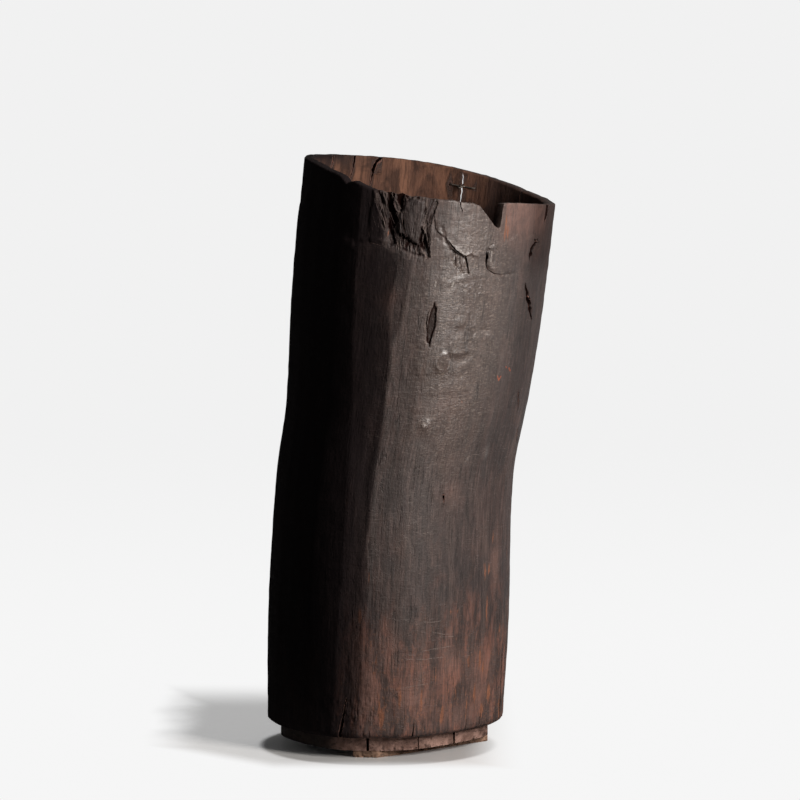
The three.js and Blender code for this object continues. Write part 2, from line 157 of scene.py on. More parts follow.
# %% [markdown]
# ## Node trees written as sums
# Shaders and Geometry Nodes are both trees of nodes, and both grow long when they are wired by hand.
# `Value` wraps an output socket, so that a sum, a product or a power of values adds its Math node.
# `Wiring` places every other kind of node with one call: the type, its settings, then its sockets.


# %% Value and Wiring
class Value:
    """One output of a node. Arithmetic on it adds Math nodes to its tree."""

    def __init__(self, wiring, socket):
        self.wiring = wiring
        self.socket = socket

    def maths(self, operation, *others):
        inputs = dict(enumerate((self, *others)))
        return self.wiring.place("ShaderNodeMath", {"operation": operation}, inputs)

    def reflected(self, operation, other):
        return self.wiring.place("ShaderNodeMath", {"operation": operation}, {0: other, 1: self})

    __add__ = partialmethod(maths, "ADD")
    __sub__ = partialmethod(maths, "SUBTRACT")
    __mul__ = partialmethod(maths, "MULTIPLY")
    __truediv__ = partialmethod(maths, "DIVIDE")
    __pow__ = partialmethod(maths, "POWER")
    __mod__ = partialmethod(maths, "FLOORED_MODULO")
    __radd__ = partialmethod(reflected, "ADD")
    __rsub__ = partialmethod(reflected, "SUBTRACT")
    __rmul__ = partialmethod(reflected, "MULTIPLY")
    cos = partialmethod(maths, "COSINE")
    sin = partialmethod(maths, "SINE")
    exp = partialmethod(maths, "EXPONENT")
    log = partialmethod(maths, "LOGARITHM", math.e)
    tanh = partialmethod(maths, "TANH")

    def clipped(self):
        """Kept from 0 to 1."""
        return self.maths("MAXIMUM", 0.0).maths("MINIMUM", 1.0)

    def between(self, low, high):
        """0 below low, 1 above high, and a smooth climb in between. High may be the lower one."""
        sockets = {"Value": self, "From Min": low, "From Max": high}
        return self.wiring.place("ShaderNodeMapRange", {"interpolation_type": "SMOOTHSTEP"}, sockets)

    def parts(self):
        """The x, y and z of a vector."""
        node = self.wiring.place("ShaderNodeSeparateXYZ", {}, {0: self}).socket.node
        return [Value(self.wiring, output) for output in node.outputs]


def highest(values):
    """The largest of some values."""
    return reduce(lambda one, other: one.maths("MAXIMUM", other), values)


class Wiring:
    """A node tree being wired."""

    def __init__(self, tree):
        self.tree = tree

    def place(self, kind, settings, inputs, output=0):
        node = self.tree.nodes.new(kind)
        for name, setting in settings.items():
            setattr(node, name, setting)
        for name, value in inputs.items():
            if isinstance(value, Value):
                self.tree.links.new(value.socket, node.inputs[name])
            else:
                node.inputs[name].default_value = value
        return Value(self, node.outputs[output]) if node.outputs else node

    def vector(self, x, y, z):
        return self.place("ShaderNodeCombineXYZ", {}, {0: x, 1: y, 2: z})

    def vector_maths(self, operation, a, b):
        return self.place("ShaderNodeVectorMath", {"operation": operation}, {0: a, 1: b})

    def noise(self, place, scale, detail=4.0, roughness=0.55, distortion=0.0):
        """Smooth noise from 0 to 1. Scale is a number per metre, or one for each axis."""
        stretched = self.vector_maths("MULTIPLY", place, scale if isinstance(scale, tuple) else (scale,) * 3)
        sockets = {"Vector": stretched, "Scale": 1.0, "Detail": detail, "Roughness": roughness,
                   "Distortion": distortion}
        return self.place("ShaderNodeTexNoise", {}, sockets)

    def blend(self, share, a, b):
        """Colour a where share is 0, and colour b where it is 1."""
        return self.place("ShaderNodeMix", {"data_type": "RGBA"}, {0: share, 6: a, 7: b}, output=2)

    def layered(self, colour, coats):
        """A colour under some coats. Each coat is its share of the surface and its own colour."""
        for share, over in coats:
            colour = self.blend(share, colour, over)
        return colour


# %% [markdown]
# ## Geometry Nodes trees
# A tree gets a geometry socket and one named input for each size. `grow` runs a tree over a mesh: it sets
# the inputs by their identifiers, and `bake` makes the result a plain mesh and leaves no modifier behind.


# %% Build, end and run a tree
def new_geometry_tree(name, sizes):
    tree = bpy.data.node_groups.new(name, "GeometryNodeTree")
    tree.interface.new_socket("Geometry", in_out="INPUT", socket_type="NodeSocketGeometry")
    for label, size in sizes.items():
        socket = tree.interface.new_socket(label, in_out="INPUT", socket_type="NodeSocketFloat")
        socket.default_value = size
    tree.interface.new_socket("Geometry", in_out="OUTPUT", socket_type="NodeSocketGeometry")
    wiring = Wiring(tree)
    source = tree.nodes.new("NodeGroupInput")
    return wiring, {socket.name: Value(wiring, socket) for socket in source.outputs if socket.name}


def end_tree(wiring, geometry, material):
    real = wiring.place("GeometryNodeRealizeInstances", {}, {"Geometry": geometry})
    finished = wiring.place("GeometryNodeSetMaterial", {}, {"Geometry": real, "Material": material})
    wiring.place("NodeGroupOutput", {}, {0: finished})
    return wiring.tree


def stand(name, data):
    """A new object in the scene."""
    made = bpy.data.objects.new(name, data)
    bpy.context.scene.collection.objects.link(made)
    return made


def bake(piece):
    """Makes a plain mesh of a piece and its modifiers, with all that is stored on the points."""
    graph = bpy.context.evaluated_depsgraph_get()
    mesh = bpy.data.meshes.new_from_object(piece.evaluated_get(graph), preserve_all_data_layers=True,
                                           depsgraph=graph)
    piece.modifiers.clear()
    piece.data = mesh


def grow(name, start, tree, sizes):
    """A plain mesh object: what the tree makes of the start mesh."""
    piece = stand(name, start)
    modifier = piece.modifiers.new(tree.name, "NODES")
    modifier.node_group = tree
    for item in tree.interface.items_tree:
        if item.in_out == "INPUT" and item.name in sizes:
            modifier[item.identifier] = sizes[item.name]
    bake(piece)
    piece.data.name = name
    return piece


def mesh_from(name, points, faces, edges=()):
    mesh = bpy.data.meshes.new(name)
    listed = faces.tolist() if isinstance(faces, np.ndarray) else faces
    mesh.from_pydata(np.asarray(points).tolist(), list(edges), listed)
    mesh.update()
    return mesh


def add_paint(mesh, paints):
    """Stores one number for each point under each name, for the materials to read."""
    for name, amounts in paints.items():
        layer = mesh.attributes.new(name, "FLOAT", "POINT")
        layer.data.foreach_set("value", np.asarray(amounts, dtype=np.float32).ravel())


PAINTS = ("inside", "raw", "rubbed", "blush", "painted_shade", "grime", "polish_and_highlight")


def paint_evenly(mesh, **amounts):
    """The same amount of a paint on every point, and none of the paints that aren't named."""
    add_paint(mesh, {name: np.full(len(mesh.vertices), amounts.get(name, 0.0)) for name in PAINTS})


def triangle_count(piece):
    return sum(len(polygon.vertices) - 2 for polygon in piece.data.polygons)


# %% [markdown]
# ## Rolling a flat sheet onto the stem
# The wall, its cracks, its splinters and the wire are all drawn on one flat sheet: x runs round the stem,
# y is the depth into the wood and z is the height. One tree then rolls any of them onto the stem by the
# rule above. It also keeps each point's place in the unbent log, so that the grain follows the lean.


# %% The rolling tree
def unroll(angle, depth, z):
    """A place on the flat sheet."""
    angle, depth, z = np.broadcast_arrays(np.radians(angle) * SHEET_RADIUS, depth, z)
    return np.stack([angle, depth, z], axis=-1)


def roll(wiring, geometry, stem):
    """Moves points of the flat sheet onto the stem and keeps their place in the unbent log."""
    x, depth, z = wiring.place("GeometryNodeInputPosition", {}, {}).parts()
    angle = x * (180 / math.pi / SHEET_RADIUS)
    radius = stem_radius(angle, z, stem) - depth
    turn = x / SHEET_RADIUS
    log = wiring.vector(radius * np.cos(turn), radius * np.sin(turn), z)
    place = wiring.vector_maths("ADD", log, wiring.vector(heart_line(z, stem), 0.0, 0.0))
    settings = {"data_type": "FLOAT_VECTOR", "domain": "POINT"}
    sockets = {"Geometry": geometry, "Name": "log", "Value": log}
    kept = wiring.place("GeometryNodeStoreNamedAttribute", settings, sockets)
    return wiring.place("GeometryNodeSetPosition", {}, {"Geometry": kept, "Position": place})


def rolling_tree(name, material):
    wiring, inputs = new_geometry_tree(name, STEM)
    return end_tree(wiring, roll(wiring, inputs["Geometry"], inputs), material)


# %% [markdown]
# ## Weathering
# Old wood is never smooth: soft wood between the rings wears away and leaves upright ridges, and the
# surface swells and sinks over a hand's breadth. This tree moves every point along its normal by
# both, so that the relief is real and shows at the silhouette.


# %% The weathering tree
def weathering_tree(name, material, along=(1.0, 1.0, 0.06)):
    """Along shrinks the noise along the grain, here upwards."""
    sizes = {"Lump depth": 0.8 * MM, "Ridge depth": 0.5 * MM, "Grain depth": 0.2 * MM, "Seed": 3.0}
    wiring, inputs = new_geometry_tree(name, sizes)
    log = wiring.place("GeometryNodeInputNamedAttribute", {"data_type": "FLOAT_VECTOR"}, {"Name": "log"})
    place = wiring.vector_maths("ADD", log, wiring.vector(inputs["Seed"], inputs["Seed"], 0.0))
    grain = wiring.vector_maths("MULTIPLY", place, along)
    lumps = wiring.noise(place, 14.0, detail=2.0) - 0.5
    ridges = wiring.noise(grain, 70.0, detail=3.0) - 0.5
    fine = wiring.noise(grain, 330.0, detail=2.0) - 0.5
    out = lumps * inputs["Lump depth"] + ridges * inputs["Ridge depth"] + fine * inputs["Grain depth"]
    normal = wiring.place("GeometryNodeInputNormal", {}, {})
    offset = wiring.place("ShaderNodeVectorMath", {"operation": "SCALE"}, {0: normal, "Scale": out * 2.0})
    moved = wiring.place("GeometryNodeSetPosition", {}, {"Geometry": inputs["Geometry"], "Offset": offset})
    return end_tree(wiring, moved, material)


# %% [markdown]
# ## The finish of the trunk
# Years of handling have left dark, waxy wood: grey-brown where light catches it, redder towards the foot,
# orange where knocks have broken the skin, and warm brown inside, where nothing has polished it.
# The material reads the place in the unbent log, and the paint that the later cells store on the points:
# `inside` is the hollow, `raw` is torn wood, `rubbed` is the orange wear, `blush` is skin worn to a warm
# red, `painted_shade` is shade painted near black on the left side and in the hollow, `grime` is
# dirt together with painted shade in cracks, grooves and on the right side, and `polish_and_highlight` is
# where hands and wax have left a sheen, which the colour also paints lighter as a highlight.
# Scratches are finer than any point of the wall, so the material draws them itself, as thin lines.
# Where shade is painted darkest, on the left side and in the cracks, and in the hollow, a matt shader is
# mixed in for the waxy one, so that these places reflect nothing.


# %% Colours, and lines on the stem
def rgb(red, green, blue):
    return (red, green, blue, 1.0)


def stored(wiring, name, output=2):
    """What the points carry under a name. Output 1 is a vector, and 2 a number."""
    return wiring.place("ShaderNodeAttribute", {"attribute_name": name}, {}, output=output)


def new_material(name, **constants):
    """A material whose shader has these sockets set, and the wiring to feed the others."""
    material = bpy.data.materials.new(name)
    material.use_nodes = True
    shader = material.node_tree.nodes["Principled BSDF"]
    for socket, setting in constants.items():
        shader.inputs[socket.replace("_", " ")].default_value = setting
    return material, Wiring(material.node_tree), shader


def feed(wiring, shader, **values):
    for name, value in values.items():
        wiring.tree.links.new(value.socket, shader.inputs[name.replace("_", " ")])


def bumps(wiring, heights):
    """A normal bent by heights, each with its strength and its depth in millimetres."""
    normal = {}
    for height, strength, depth in heights:
        sockets = {"Height": height, "Strength": strength, "Distance": depth * MM, **normal}
        normal = {"Normal": wiring.place("ShaderNodeBump", {}, sockets)}
    return normal["Normal"]


# Paths in (degrees, millimetres up), and how wide the line is in millimetres
SCRATCHES = (
    (((-79.5, 237.5), (-74, 235.5), (-68.5, 236.5)), 0.5),
    (((-72, 143.5), (-67, 142.4), (-62, 143.2)), 0.8), (((-61.5, 128.6), (-55.5, 127.6)), 0.6),
    (((-67, 114), (-60.5, 113)), 0.5), (((-80, 110), (-76.5, 109)), 0.5),
    (((-72.5, 396), (-62.5, 393)), 0.5), (((-70, 386.5), (-62, 383)), 0.4),
    (((-62.5, 371), (-53, 368.5), (-44.5, 369)), 0.4),
    (((-49.5, 309.5), (-45, 313), (-39, 312), (-34, 316)), 0.5), (((-110, 340), (-100, 335)), 0.6),
    (((-77, 350), (-72, 345)), 0.3), (((-90, 262), (-84, 258)), 0.4), (((-58, 262), (-50, 260)), 0.3),
    (((-66.5, 131.5), (-60, 129.5)), 0.8), (((-62, 126.5), (-52.5, 124.5)), 0.7),
    (((-72.5, 112.5), (-63, 114.5), (-54, 115)), 0.8),
    (((-80.5, 105.5), (-70, 103.5), (-59.5, 104.5)), 0.8), (((-82.5, 75), (-75, 77.5), (-68.5, 78)), 0.7),
)
CHIPS = (
    (((-83.2, 497), (-83.4, 491.5)), 2.2), (((-74.2, 496), (-75.0, 491)), 2.6),
    (((-63, 488.5), (-62.4, 486.5)), 2.0), (((-73.4, 529.5), (-71.8, 526), (-70.2, 524.6)), 2.2),
    (((-53.8, 525), (-53.8, 514)), 2.4),
)
RED_CHIPS = (
    (((-37.6, 394), (-36.2, 389.5), (-34.8, 393.5)), 2.2), (((-28.8, 401), (-27.6, 398)), 2.6),
    (((-31.8, 403), (-31, 402)), 1.6),
)


def line_on_stem(round_stem, height, path, width):
    """1 along a path on the stem and 0 beside it."""
    marks = []
    for (at, low), (next_at, next_low) in zip(path, path[1:]):
        x, y = math.radians(at) * SHEET_RADIUS, low * MM
        run, climb = math.radians(next_at - at) * SHEET_RADIUS, (next_low - low) * MM
        length = run ** 2 + climb ** 2
        share = ((round_stem - x) * (run / length) + (height - y) * (climb / length)).clipped()
        across = round_stem - x - share * run
        up = height - y - share * climb
        off = (across * across + up * up) ** 0.5
        marks.append(off.between(width * 0.5 * MM, width * 0.15 * MM))
    return highest(marks)


def lines_on_stem(round_stem, height, lines):
    """1 on any of the lines and 0 beside them."""
    return highest([line_on_stem(round_stem, height, path, width) for path, width in lines])


# %% The trunk's material
def trunk_finish():
    material, wiring, shader = new_material("trunk_wood", Coat_Roughness=0.34, Coat_IOR=1.6,
                                            Specular_IOR_Level=0.78)
    log = stored(wiring, "log", output=1)
    east, north, height = log.parts()
    inside, raw, rubbed, blush, painted_shade, grime, polish_and_highlight = [stored(wiring, name) for name in PAINTS]
    broad = wiring.noise(log, 9.0, detail=3.0)
    patch = wiring.noise(log, (42.0, 42.0, 26.0), detail=5.0, roughness=0.62, distortion=0.5)
    smear = wiring.noise(log, (56.0, 56.0, 22.0), detail=5.0, roughness=0.65, distortion=0.4)
    streak = wiring.noise(log, (190.0, 190.0, 16.0), detail=4.0, roughness=0.6, distortion=0.15)
    splinter = wiring.noise(log, (430.0, 430.0, 38.0), detail=3.0, distortion=0.3)
    fibre = wiring.noise(log, (900.0, 900.0, 60.0), detail=3.0)
    speck = wiring.noise(log, (560.0, 560.0, 300.0), detail=3.0)
    wrinkle = wiring.noise(log, (26.0, 26.0, 150.0), detail=3.0, roughness=0.6, distortion=0.9)
    crackle = wiring.noise(log, (230.0, 230.0, 640.0), detail=3.0, roughness=0.65, distortion=0.5)
    band = wiring.noise(log, (62.0, 62.0, 5.0), detail=3.0, roughness=0.55, distortion=0.2)
    strand = wiring.noise(log, (105.0, 105.0, 6.0), detail=2.0, roughness=0.5, distortion=0.25)
    hair = (strand - 0.5).maths("ABSOLUTE").between(0.016, 0.004) * smear.between(0.46, 0.56)
    thread = (wrinkle - 0.5).maths("ABSOLUTE").between(0.014, 0.004) * patch.between(0.42, 0.56)
    thread = thread * (1.0 - inside)
    low = (height + (broad - 0.5) * 0.14 + (smear - 0.5) * 0.13).between(0.180, 0.070)
    round_stem = north.maths("ARCTAN2", east) * SHEET_RADIUS
    wobble = round_stem + (speck - 0.5) * 0.9 * MM
    ripple = height + (patch - 0.5) * 3.0 * MM
    scratched = lines_on_stem(wobble, ripple, SCRATCHES)
    chipped = lines_on_stem(wobble, height, CHIPS)
    sparked = lines_on_stem(wobble, height, RED_CHIPS)
    sheen = polish_and_highlight.clipped()
    waxed = polish_and_highlight.between(1.05, 1.50)

    red = wiring.layered(rgb(0.320, 0.132, 0.092), (
        (smear.between(0.43, 0.57), rgb(0.082, 0.046, 0.040)),
        (patch.between(0.54, 0.66) * 0.7, rgb(0.088, 0.074, 0.070)),
        (speck.between(0.55, 0.66) * 0.6, rgb(0.400, 0.170, 0.085)),
        (streak.between(0.52, 0.64) * 0.55, rgb(0.036, 0.018, 0.014)),
    ))
    torn = wiring.layered(rgb(0.300, 0.225, 0.195), (
        (streak.between(0.38, 0.60), rgb(0.085, 0.048, 0.042)),
        (splinter.between(0.48, 0.60) * 0.65, rgb(0.030, 0.011, 0.010)),
    ))
    orange = wiring.blend(fibre, rgb(0.420, 0.160, 0.075), rgb(0.230, 0.090, 0.055))
    skin = wiring.layered(rgb(0.056, 0.037, 0.036), (
        (broad.between(0.40, 0.60), rgb(0.078, 0.046, 0.041)),
        (patch.between(0.50, 0.66) * 0.50, rgb(0.135, 0.076, 0.062)),
        (smear.between(0.50, 0.64) * 0.6, rgb(0.044, 0.033, 0.033)),
        (streak.between(0.50, 0.64) * 0.55, rgb(0.032, 0.021, 0.019)),
        (low * 0.92, red),
        (splinter.between(0.52, 0.64) * (0.58 - 0.28 * sheen), rgb(0.028, 0.018, 0.016)),
        (splinter.between(0.46, 0.36) * (0.38 - 0.20 * sheen), rgb(0.200, 0.135, 0.120)),
        (band.between(0.50, 0.60) * 0.42, rgb(0.036, 0.026, 0.025)),
        (band.between(0.44, 0.36) * 0.30, rgb(0.150, 0.102, 0.088)),
        # Painted highlight: where the wood is polished, the skin is painted lighter, with light and dark
        # crackle.
        (sheen * (0.22 + 0.42 * patch), rgb(0.225, 0.172, 0.146)),
        (crackle.between(0.46, 0.36) * sheen * 0.5, rgb(0.400, 0.320, 0.270)),
        (crackle.between(0.54, 0.64) * sheen * 0.45, rgb(0.034, 0.025, 0.022)),
        (thread * 0.28, rgb(0.260, 0.205, 0.190)),
        (hair * 0.60, rgb(0.020, 0.012, 0.011)),
        (blush * (0.42 + 0.7 * patch.between(0.36, 0.60)), rgb(0.285, 0.155, 0.125)),
        ((rubbed * (0.35 + 1.1 * speck)).between(0.16, 0.62), orange),
        (raw, torn),
        (scratched * speck.between(0.30, 0.55) * 0.85, rgb(0.300, 0.235, 0.210)),
        (chipped * speck.between(0.38, 0.56) * 0.85, rgb(0.500, 0.440, 0.400)),
        (sparked * speck.between(0.30, 0.48), rgb(0.520, 0.120, 0.045)),
    ))
    hollow = wiring.layered(rgb(0.250, 0.120, 0.075), (
        (smear.between(0.36, 0.64), rgb(0.125, 0.060, 0.040)),
        (patch.between(0.48, 0.62) * 0.75, rgb(0.046, 0.024, 0.018)),
        (streak.between(0.52, 0.68) * 0.5, rgb(0.030, 0.014, 0.010)),
        (speck.between(0.60, 0.70) * broad.between(0.50, 0.60) * 0.5, rgb(0.330, 0.150, 0.070)),
    ))
    colour = wiring.layered(skin, (
        (inside, hollow),
        (fibre.between(0.50, 0.66) * 0.45, rgb(0.026, 0.016, 0.014)),
        # Painted shade: near black on the left side and in the hollow, and dark in cracks, grooves and on the
        # right side, where it is mixed with dirt.
        (painted_shade * (1.15 - 0.3 * patch), rgb(0.023, 0.017, 0.018)),
        (grime, rgb(0.014, 0.005, 0.004)),
    ))
    dull = 0.75 - 0.38 * sheen - 0.20 * waxed + 0.16 * (patch - 0.5) + 0.26 * (speck - 0.5)
    dull = dull + 0.08 * low + 0.10 * raw
    clean = (1.0 - inside) * (1.0 - grime) * (1.0 - raw) * (1.0 - painted_shade)
    relief = bumps(wiring, (
        (wrinkle * broad.between(0.44, 0.56), 0.40, 1.4),
        (patch * (1.0 - waxed), 0.50, 2.4),
        (streak, 0.45, 0.9),
        (1.0 - hair, 0.60, 0.6),
        (fibre, 0.60, 0.50),
        (splinter * (1.0 - 0.7 * polish_and_highlight), 0.60, 0.8),
        (crackle * sheen * (1.0 - waxed), 0.85, 0.80),
        (thread, 0.50, 0.5),
        (speck * (1.0 - waxed), 0.80, 0.60),
    ))
    feed(wiring, shader, Base_Color=colour, Roughness=dull, Normal=relief,
         Coat_Weight=(polish_and_highlight * (0.35 + 1.0 * patch) * clean).clipped())
    sockets = {"Base Color": colour, "Roughness": 0.95, "Specular IOR Level": 0.06, "Normal": relief}
    matt = wiring.place("ShaderNodeBsdfPrincipled", {}, sockets)
    dry = highest((painted_shade * 1.1, grime.between(0.45, 0.9), inside * 0.75)).clipped()
    waxy = Value(wiring, shader.outputs[0])
    both = wiring.place("ShaderNodeMixShader", {}, {0: dry, 1: waxy, 2: matt})
    wiring.tree.links.new(both.socket, wiring.tree.nodes["Material Output"].inputs["Surface"])
    return material


trunk_material = trunk_finish()
print("trunk material:", len(trunk_material.node_tree.nodes), "nodes")

# %% [markdown]
# ## The wall of the trunk
# The wall is one closed band of points: up the outside, over the rim and down the hollow. A point of it is
# named by its column round the stem, its share of the way up, how far it has gone over the lip, and how
# much of the wall it has crossed. The rules below turn those four into a place.

# %% The broken rim
COLUMNS = 226
OUTSIDE_ROWS = 112
INSIDE_ROWS = 18
SEAM = -250.0
RIM_ROUND = 1.7 * MM
FOOT_ROUND = 6 * MM
# Column at the foot, angle at the rim, and millimetres of rim missing there
FRONT_RIM = (
    (-150, -150, 0.0), (-138, -138, -1.0), (-134.5, -135, -0.6), (-132.5, -132.8, 4.2),
    (-130.5, -130.5, 1.6), (-127.5, -127.5, -1.4), (-123, -123, 0.0), (-116.5, -116.5, 1.4),
    (-113.5, -113.5, 0.2), (-111, -111, 1.6), (-108, -108.2, -0.4), (-105.5, -105.8, 1.4),
    (-103.5, -103.5, -1.4), (-99, -99, 0.8), (-96.5, -96.5, -0.6), (-90, -90, -0.4), (-83.5, -83.5, 0.0),
    (-79, -79, -0.8), (-76, -76, 0.3), (-70.5, -68.5, 1.5), (-67, -64, 3.8), (-64.5, -62.5, 6.6),
    (-61.5, -60, 11.3), (-58.5, -57, 16.8), (-55, -53.5, 23.3), (-52.5, -50.7, 25.9), (-51, -49.6, 24.2),
    (-48.5, -49.2, 15.6), (-46, -49.0, 6.6), (-44, -48.4, 0.6), (-41, -45.5, -0.4), (-33.5, -34, -1.0),
    (-13, -13, -1.2), (-4.5, -4.5, -0.9), (12, 12, 0.0),
)
AT_FOOT, AT_RIM, MISSING = np.array(FRONT_RIM).T


def rim_angle(column):
    """Where a column reaches the rim. Beside the deep break the columns lean, to give its side points."""
    return column + np.interp(column, AT_FOOT, AT_RIM - AT_FOOT, left=0, right=0)


def rim_height(column):
    missing = np.interp(column, AT_FOOT, MISSING, left=0, right=0)
    wear = np.array([noise.fractal((value * 0.25, 0.0, 7.0), 0.7, 2.0, 4) for value in np.ravel(column)])
    return mouth_height(rim_angle(column)) - (missing + 0.3 + 0.5 * wear.reshape(np.shape(column))) * MM


# %% [markdown]
# Columns and rows are crowded where the photograph shows detail: the columns at the front, the rows under
# the rim. Then whole areas are cut finer still, once or twice, as a carver takes a smaller tool for them.


# %% A grid with crowded columns and rows
def spaced(low, high, count, crowding):
    """Places from low to high, closer together where crowding is larger."""
    fine = np.linspace(low, high, 6000)
    share = np.cumsum(crowding(fine))
    share = (share - share[0]) / (share[-1] - share[0])
    return np.interp(np.linspace(0, 1, count), share, fine)


def crowd_columns(angle):
    front = rise(angle + 127, 3) * rise(-4 - angle, 3)
    left = rise(angle + 182, 3) * rise(-127 - angle, 3)
    return 0.42 + 0.55 * front + 0.16 * left


def crowd_rows(share):
    return 0.75 + 1.2 * rise(share - 0.84, 0.03) + 0.6 * hill(share, 0.05)


def band_rows():
    """Share of the way up, rise over the lip, depth, and share of the wall crossed, for each row."""
    listed = [(share, 0.0, 0.0, 0.0) for share in spaced(0, 1, OUTSIDE_ROWS, crowd_rows)]
    for turn in np.radians((30, 60, 90)):
        listed.append((1.0, RIM_ROUND * np.sin(turn), RIM_ROUND * (1 - np.cos(turn)), 0.0))
    listed += [(1.0, RIM_ROUND, 0.0, 0.33), (1.0, RIM_ROUND, 0.0, 0.66)]
    for turn in np.radians((90, 50, 20)):
        listed.append((1.0, RIM_ROUND * np.sin(turn), RIM_ROUND * (np.cos(turn) - 1), 1.0))
    listed += [(share, 0.0, 0.0, 1.0) for share in spaced(0, 1, INSIDE_ROWS, crowd_rows)[::-1]]
    return np.array(listed)


def band_faces(row_count, column_count):
    """The four-sided faces of a band closed both ways."""
    row, column = np.meshgrid(np.arange(row_count), np.arange(column_count), indexing="ij")
    across = (column + 1) % column_count
    above = (row + 1) % row_count
    corners = [row * column_count + column, row * column_count + across,
               above * column_count + across, above * column_count + column]
    return np.stack(corners, axis=-1).reshape(-1, 4)


KEPT = ("column", "share", "over", "set_in", "crossed")


def plain_band():
    columns = spaced(SEAM, SEAM + 360, COLUMNS + 1, crowd_columns)[:-1]
    listed = band_rows()
    grid_column = np.tile(columns, len(listed))
    grid_rows = np.repeat(listed, len(columns), axis=0)
    number = np.repeat(np.arange(len(listed)), len(columns))
    points = np.stack([grid_column, number, np.zeros_like(grid_column)], axis=-1)
    mesh = mesh_from("band", points, band_faces(len(listed), len(columns)))
    add_paint(mesh, dict(zip(KEPT, (grid_column, *grid_rows.T))))
    return mesh


# %% Cut areas finer
# (degrees from, degrees to, millimetres from, millimetres to)
FINER = (
    (-127, -6, 488, 640), (-119, -84, 508, 640), (-89, -40, 494, 586), (-92, -44, 330, 478),
    (-84, -58, 396, 440), (-88, -80, 424, 480), (-30, -10, 440, 500), (-81, -76, 348, 358),
    (-127, 0, 0, 62), (-116, -96, 40, 260),
)


def cut_finer(mesh, areas):
    tool = bmesh.new()
    tool.from_mesh(mesh)
    column, share, crossed = [tool.verts.layers.float[name] for name in ("column", "share", "crossed")]
    for west, east, low, high in areas:
        chosen = set()
        for face in tool.faces:
            at = [vertex[column] for vertex in face.verts]
            middle = sum(at) / len(at)
            up = sum(vertex[share] for vertex in face.verts) / len(at)
            outside = max(vertex[crossed] for vertex in face.verts) < 0.01
            over_seam = max(at) - min(at) >= 90
            height = 22 + up * (float(mouth_height(middle)) / MM - 24)
            if outside and not over_seam and west < middle < east and low < height < high:
                chosen.update(face.edges)
        bmesh.ops.subdivide_edges(tool, edges=list(chosen), cuts=1, use_grid_fill=True)
    tool.to_mesh(mesh)
    tool.free()


def read_paint(mesh, name):
    values = np.zeros(len(mesh.vertices), dtype=np.float32)
    mesh.attributes[name].data.foreach_get("value", values)
    return values.astype(float)


band = plain_band()
print("band before:", len(band.polygons), "faces")
cut_finer(band, FINER)
column, share, over, set_in, crossed = [read_paint(band, name) for name in KEPT]
lip = rim_height(column) - RIM_ROUND
z = FOOT + share * (lip - FOOT) + over
below_lip = np.maximum(lip - z, 0)
angle = column + (rim_angle(column) - column) * np.exp(-below_lip / (16 * MM))
turn = np.radians(angle)
log_points = np.stack([SHEET_RADIUS * np.cos(turn), SHEET_RADIUS * np.sin(turn), z], axis=-1)
print("band after:", len(band.polygons), "faces")

# %% [markdown]
# ## Carving the relief
# The outside carries the marks of its making and its age: long faces left by the adze, an outer layer gone on
# the left, torn fibres under the rim, a grey patch that still stands, a flake gone on the right, knots
# and dents. Sculpting brushes would do it, but a few outlines drawn on the sheet can be read and moved.
# Torn wood breaks into long flat chips, so its relief is a field of cells stretched along the grain, each
# with a level and a tilt of its own.


# %% Tools for carving
def smooth(amount, low, high):
    """0 at low, 1 at high, and a smooth climb in between."""
    part = np.clip((amount - low) / (high - low), 0, 1)
    return part * part * (3 - 2 * part)


def drawn_out(points, along):
    """Places for noise that is drawn out along the grain, which runs upwards."""
    return points * np.array((1.0, 1.0, along))


def rough(points, scale, octaves=4, seed=0.0):
    """Fractal noise at every point, about -1 to 1."""
    flat = (np.asarray(points) * scale).reshape(-1, 3) + seed
    values = [noise.fractal(point, 0.8, 2.0, octaves) for point in flat.tolist()]
    return np.array(values).reshape(np.shape(points)[:-1])


def on_sheet(path):
    """A path of (degrees, millimetres up) on the flat sheet, in metres."""
    return [(math.radians(at) * SHEET_RADIUS, height * MM) for at, height in path]


def distance_to(path, x, y, closed=False):
    """From every point of the sheet to a path on it."""
    corners = on_sheet(path)
    stops = corners[1:] + corners[:1] if closed else corners[1:]
    nearest = np.full(x.shape, 1.0)
    for (x0, y0), (x1, y1) in zip(corners, stops):
        run, climb = x1 - x0, y1 - y0
        along = np.clip(((x - x0) * run + (y - y0) * climb) / (run ** 2 + climb ** 2 + 1e-12), 0, 1)
        nearest = np.minimum(nearest, np.hypot(x - x0 - along * run, y - y0 - along * climb))
    return nearest


def within(outline, x, y, slope):
    """1 inside an outline and 0 outside, over a slope in metres."""
    corners = on_sheet(outline)
    inside = np.zeros(x.shape, dtype=bool)
    for (x0, y0), (x1, y1) in zip(corners, corners[1:] + corners[:1]):
        inside ^= ((y0 > y) != (y1 > y)) & (x < (x1 - x0) * (y - y0) / (y1 - y0 + 1e-12) + x0)
    nearest = distance_to(outline, x, y, closed=True)
    return smooth(np.where(inside, nearest, -nearest), -slope / 2, slope / 2)


CHIP_TABLE = 61


